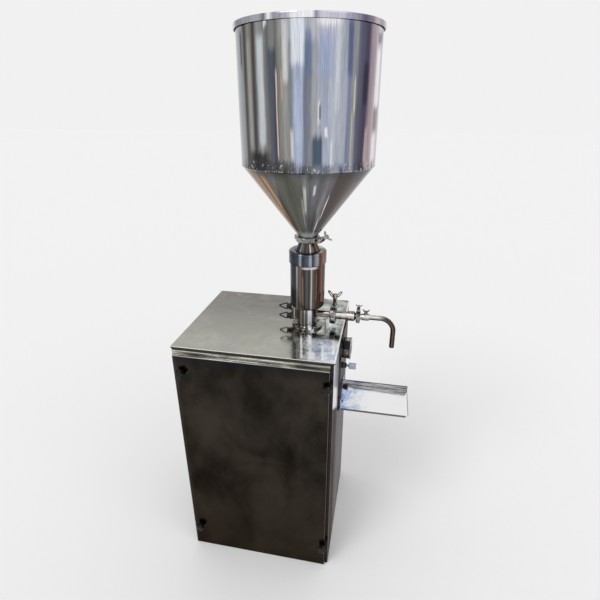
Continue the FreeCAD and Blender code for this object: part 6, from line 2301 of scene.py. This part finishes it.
@dataclass
class ControlSide:
    """Control plate, gauge, pressure knob and push button."""

    def facing_right(self, node: str) -> Axes:
        """Axes on a control's middle line, z pointing away from the wall, from the node's left end."""
        low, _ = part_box(node)
        _, y, z = middle(node)
        return Axes((low.x, y, z), *Way.RIGHT.value)

    def gauge(self) -> None:
        """The gauge's case with its rolled bezel, its dial, needle and glass."""
        low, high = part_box("gauge_case")
        bezel = (high.y - low.y) / 2
        radius = bezel - 2 * MM
        depth = 24 * MM
        back = high.x - low.x - depth
        corners = [
            (0, 0), (5.8 * MM, 0), (5.8 * MM, back), (radius - 2 * MM, back), (radius, back + 2 * MM),
            (radius, back + depth - 6 * MM), (bezel, back + depth - 4.5 * MM),
            (bezel, back + depth - 1.2 * MM), (bezel - 1.4 * MM, back + depth),
            (radius - 3 * MM, back + depth - 0.4 * MM), (radius - 3 * MM, back + 12 * MM),
            (1.2 * MM, back + 12 * MM), (1.2 * MM, back + 16 * MM), (0, back + 16 * MM),
        ]
        patch = self.facing_right("gauge_case").put(lathe(pole_outline(corners, 0.8 * MM), 128))
        publish("gauge_case_skin", [patch], GAUGE_STEEL, "gauge_case")
        painted("gauge_dial", DIAL_PAINT)
        painted("gauge_needle", NEEDLE_PAINT)
        painted("gauge_glass", GLASS)

    def pressure_knob(self) -> None:
        """The ribbed knob of the regulator: its skirt's radius dips 24 times a turn."""
        corners = [
            (0, 0), (14.2 * MM, 0), (15 * MM, 1 * MM), (15 * MM, 14 * MM), (13.4 * MM, 15.5 * MM),
            (13.4 * MM, 20.6 * MM), (12 * MM, 22 * MM), (0, 22 * MM),
        ]

        def ribs(angle: np.ndarray) -> np.ndarray:
            """Radius factor of the grip's ribs: a dip of 6% to the power 4 of a cosine."""
            return 1 - 0.06 * np.cos(12 * angle) ** 4

        patch = lathe(pole_outline(corners, 0.8 * MM), 240, scale=ribs, scaled_from=14 * MM)
        axes = self.facing_right("regulator_knob")
        publish("pressure_knob_skin", [axes.put(patch)], BLACK_PLASTIC, "regulator_knob")

    def push_button(self) -> None:
        """The button: stem, pale cap with a dished face, and dark bezel."""
        low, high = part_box("push_button")
        cap_start = high.x - low.x - 24 * MM
        corners = [
            (0, 0), (4 * MM, 0), (4 * MM, cap_start), (9.5 * MM, cap_start),
            (10.5 * MM, cap_start + 1.2 * MM), (10.5 * MM, cap_start + 22.4 * MM),
            (9.2 * MM, cap_start + 24 * MM), (6 * MM, cap_start + 23.3 * MM),
            (0, cap_start + 22.6 * MM),
        ]
        patch = self.facing_right("push_button").put(lathe(pole_outline(corners, 0.7 * MM), 72))
        publish("push_button_skin", [patch], BUTTON_PLASTIC, "push_button")
        dressed_copy("button_valve", DARK_PLASTIC, 0.6 * MM)

    def build(self) -> None:
        """Makes every control."""
        dressed_copy("control_plate", PLATE_STEEL, 0.8 * MM)
        dressed_copy("regulator_body", DARK_PLASTIC, 0.8 * MM)
        self.gauge()
        self.pressure_knob()
        self.push_button()


@dataclass
class Tray:
    """The container tray and its clamping knob."""

    def knob(self) -> None:
        """The clamping knob: six-lobed head, stud and washer."""
        low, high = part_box("tray_knob")
        _, y, z = middle("tray_knob")
        length = high.x - low.x
        head = length - 17 * MM
        axes = Axes((low.x, y, z), *Way.RIGHT.value)
        corners = [
            (0, head), (8 * MM, head), (8 * MM, head + 4 * MM), (10.5 * MM, head + 6 * MM),
            (10.5 * MM, head + 15 * MM), (9 * MM, head + 17 * MM), (0, head + 16.2 * MM),
        ]

        def lobed(angle: np.ndarray) -> np.ndarray:
            """Radius factor of six lobes."""
            return 1 - 0.10 * (0.5 - 0.5 * np.cos(6 * angle)) ** 2

        washer = pole_outline(
            [(0, 0.8 * MM), (8 * MM, 0.8 * MM), (8 * MM, 2.8 * MM), (0, 2.8 * MM)], 0.3 * MM
        )
        stud = pole_outline([(0, 0), (4 * MM, 0), (4 * MM, head + 1 * MM), (0, head + 1 * MM)], 0.4 * MM)
        patches = [
            axes.put(lathe(pole_outline(corners, 1.0 * MM), 96, scale=lobed, scaled_from=9.4 * MM)),
            axes.put(lathe(stud, 32)),
            axes.put(lathe(washer, 48)),
        ]
        publish("tray_knob_skin", patches, BLACK_PLASTIC, "tray_knob")

    def build(self) -> None:
        """Dresses the tray and makes its knob."""
        dressed_copy("tray", TRAY_STEEL, 0.7 * MM)
        self.knob()


@dataclass
class Drive:
    """The pump and the air cylinder, which keep their CAD shapes."""

    def build(self) -> None:
        """Paints each node."""
        finishes: dict[Finish, tuple[str, ...]] = {
            TURNED_STEEL: (
                "pump_rod", "rod_coupling", "air_piston_rod", "piston_valve_plate", "spacer_tubes"
            ),
            BOLT_STEEL: ("tie_rods",),
            ALUMINIUM: ("cylinder_lower_cap", "cylinder_upper_cap", "cylinder_tube"),
            PISTON_PLASTIC: ("pump_piston",),
            WHITE_SEAL: ("piston_seals", "rod_seal", "gaskets"),
        }
        for finish, nodes in finishes.items():
            for node in nodes:
                painted(node, finish)


@dataclass
class Studio:
    """Floor, light and camera.

    Attributes:
        pale: Colour of the background.
        floor: Colour of the floor.
        ambient: Strength of the soft light from all round.
        eye: The camera's place.
        yaw: The camera's turn to the left, in degrees.
        pitch: Its tilt down, in degrees.
        roll: Its roll, in degrees.
        focal: Focal length in pixels of the image.
    """

    pale: float = 0.88
    floor: float = 0.86
    ambient: float = 0.785
    eye: Place = (0.35407, -1.25288, 1.49968)
    yaw: float = 11.198
    pitch: float = 24.056
    roll: float = 0.06
    focal: float = 431.74

    def camera(self) -> None:
        """The camera at the photograph's viewing angle."""
        data = bpy.data.cameras.new("camera")
        data.sensor_width = 36.0
        data.lens = self.focal * data.sensor_width / IMAGE_SIDE
        data.clip_start, data.clip_end = 0.02, 100.0
        camera = bpy.data.objects.new("camera", data)
        camera.location = self.eye
        camera.rotation_euler = (
            math.radians(90 - self.pitch), math.radians(self.roll), math.radians(self.yaw)
        )
        bpy.context.scene.collection.objects.link(camera)
        bpy.context.scene.camera = camera

    def ground(self) -> None:
        """A wide pale floor."""
        size = 30.0
        corners = np.array([(-size, -size, 0), (size, -size, 0), (size, size, 0), (-size, size, 0)], float)
        mesh = bpy.data.meshes.new("floor")
        mesh.from_pydata(corners.tolist(), [], [[0, 1, 2, 3]])
        shader = Shader("floor_pale")
        grain = shader.noise(shader.position(), 40, 3, 0.5)
        shade = grain.within(0.0, 1.0, self.floor * 0.995, self.floor * 1.005)
        mesh.materials.append(shader.finish(Base_Color=shader.vector(shade, shade, shade), Roughness=0.9))
        floor = bpy.data.objects.new("floor", mesh)
        bpy.context.scene.collection.objects.link(floor)

    def world(self) -> None:
        """Soft light from all round; camera, glossy and transmission rays see the pale background."""
        world = bpy.data.worlds.new("studio")
        world.use_nodes = True
        tree = world.node_tree
        tree.nodes.clear()
        path = tree.nodes.new("ShaderNodeLightPath")
        seen = tree.nodes.new("ShaderNodeMath")
        seen.operation = "MAXIMUM"
        seen_all = tree.nodes.new("ShaderNodeMath")
        seen_all.operation = "MAXIMUM"
        tree.links.new(path.outputs["Is Camera Ray"], seen.inputs[0])
        tree.links.new(path.outputs["Is Glossy Ray"], seen.inputs[1])
        tree.links.new(seen.outputs[0], seen_all.inputs[0])
        tree.links.new(path.outputs["Is Transmission Ray"], seen_all.inputs[1])
        pale, soft = tree.nodes.new("ShaderNodeBackground"), tree.nodes.new("ShaderNodeBackground")
        pale.inputs[0].default_value = (self.pale, self.pale, self.pale, 1)
        soft.inputs[0].default_value = (1, 1, 1, 1)
        soft.inputs[1].default_value = self.ambient
        mixed, out = tree.nodes.new("ShaderNodeMixShader"), tree.nodes.new("ShaderNodeOutputWorld")
        tree.links.new(seen_all.outputs[0], mixed.inputs[0])
        tree.links.new(soft.outputs[0], mixed.inputs[1])
        tree.links.new(pale.outputs[0], mixed.inputs[2])
        tree.links.new(mixed.outputs[0], out.inputs[0])
        bpy.context.scene.world = world

    def lamps(self) -> None:
        """Two wide soft lights like distant windows, the stronger from the upper left front."""
        for name, strength, angle, tilt, turn in (
            ("key", 0.75, 25.0, 38.0, -35.0), ("fill", 0.25, 40.0, 50.0, 60.0),
        ):
            data = bpy.data.lights.new(name, "SUN")
            data.energy = strength
            data.angle = math.radians(angle)
            lamp = bpy.data.objects.new(name, data)
            lamp.rotation_euler = (math.radians(tilt), 0, math.radians(turn))
            bpy.context.scene.collection.objects.link(lamp)

    def build(self) -> None:
        """Sets the whole stage and the plain view transform."""
        bpy.context.scene.view_settings.view_transform = "Standard"
        self.world()
        self.ground()
        self.lamps()
        self.camera()


def main() -> None:
    """Builds every sub-assembly."""
    logging.basicConfig(level=logging.INFO, format="%(message)s")
    Studio().build()
    Hopper().build()
    Tower().build()
    build_clamps()
    OutletLine().build()
    CleanOut().build()
    Cabinet().build()
    FrontKnobs().build()
    ControlSide().build()
    Tray().build()
    Drive().build()


if __name__ == "__main__":
    main()
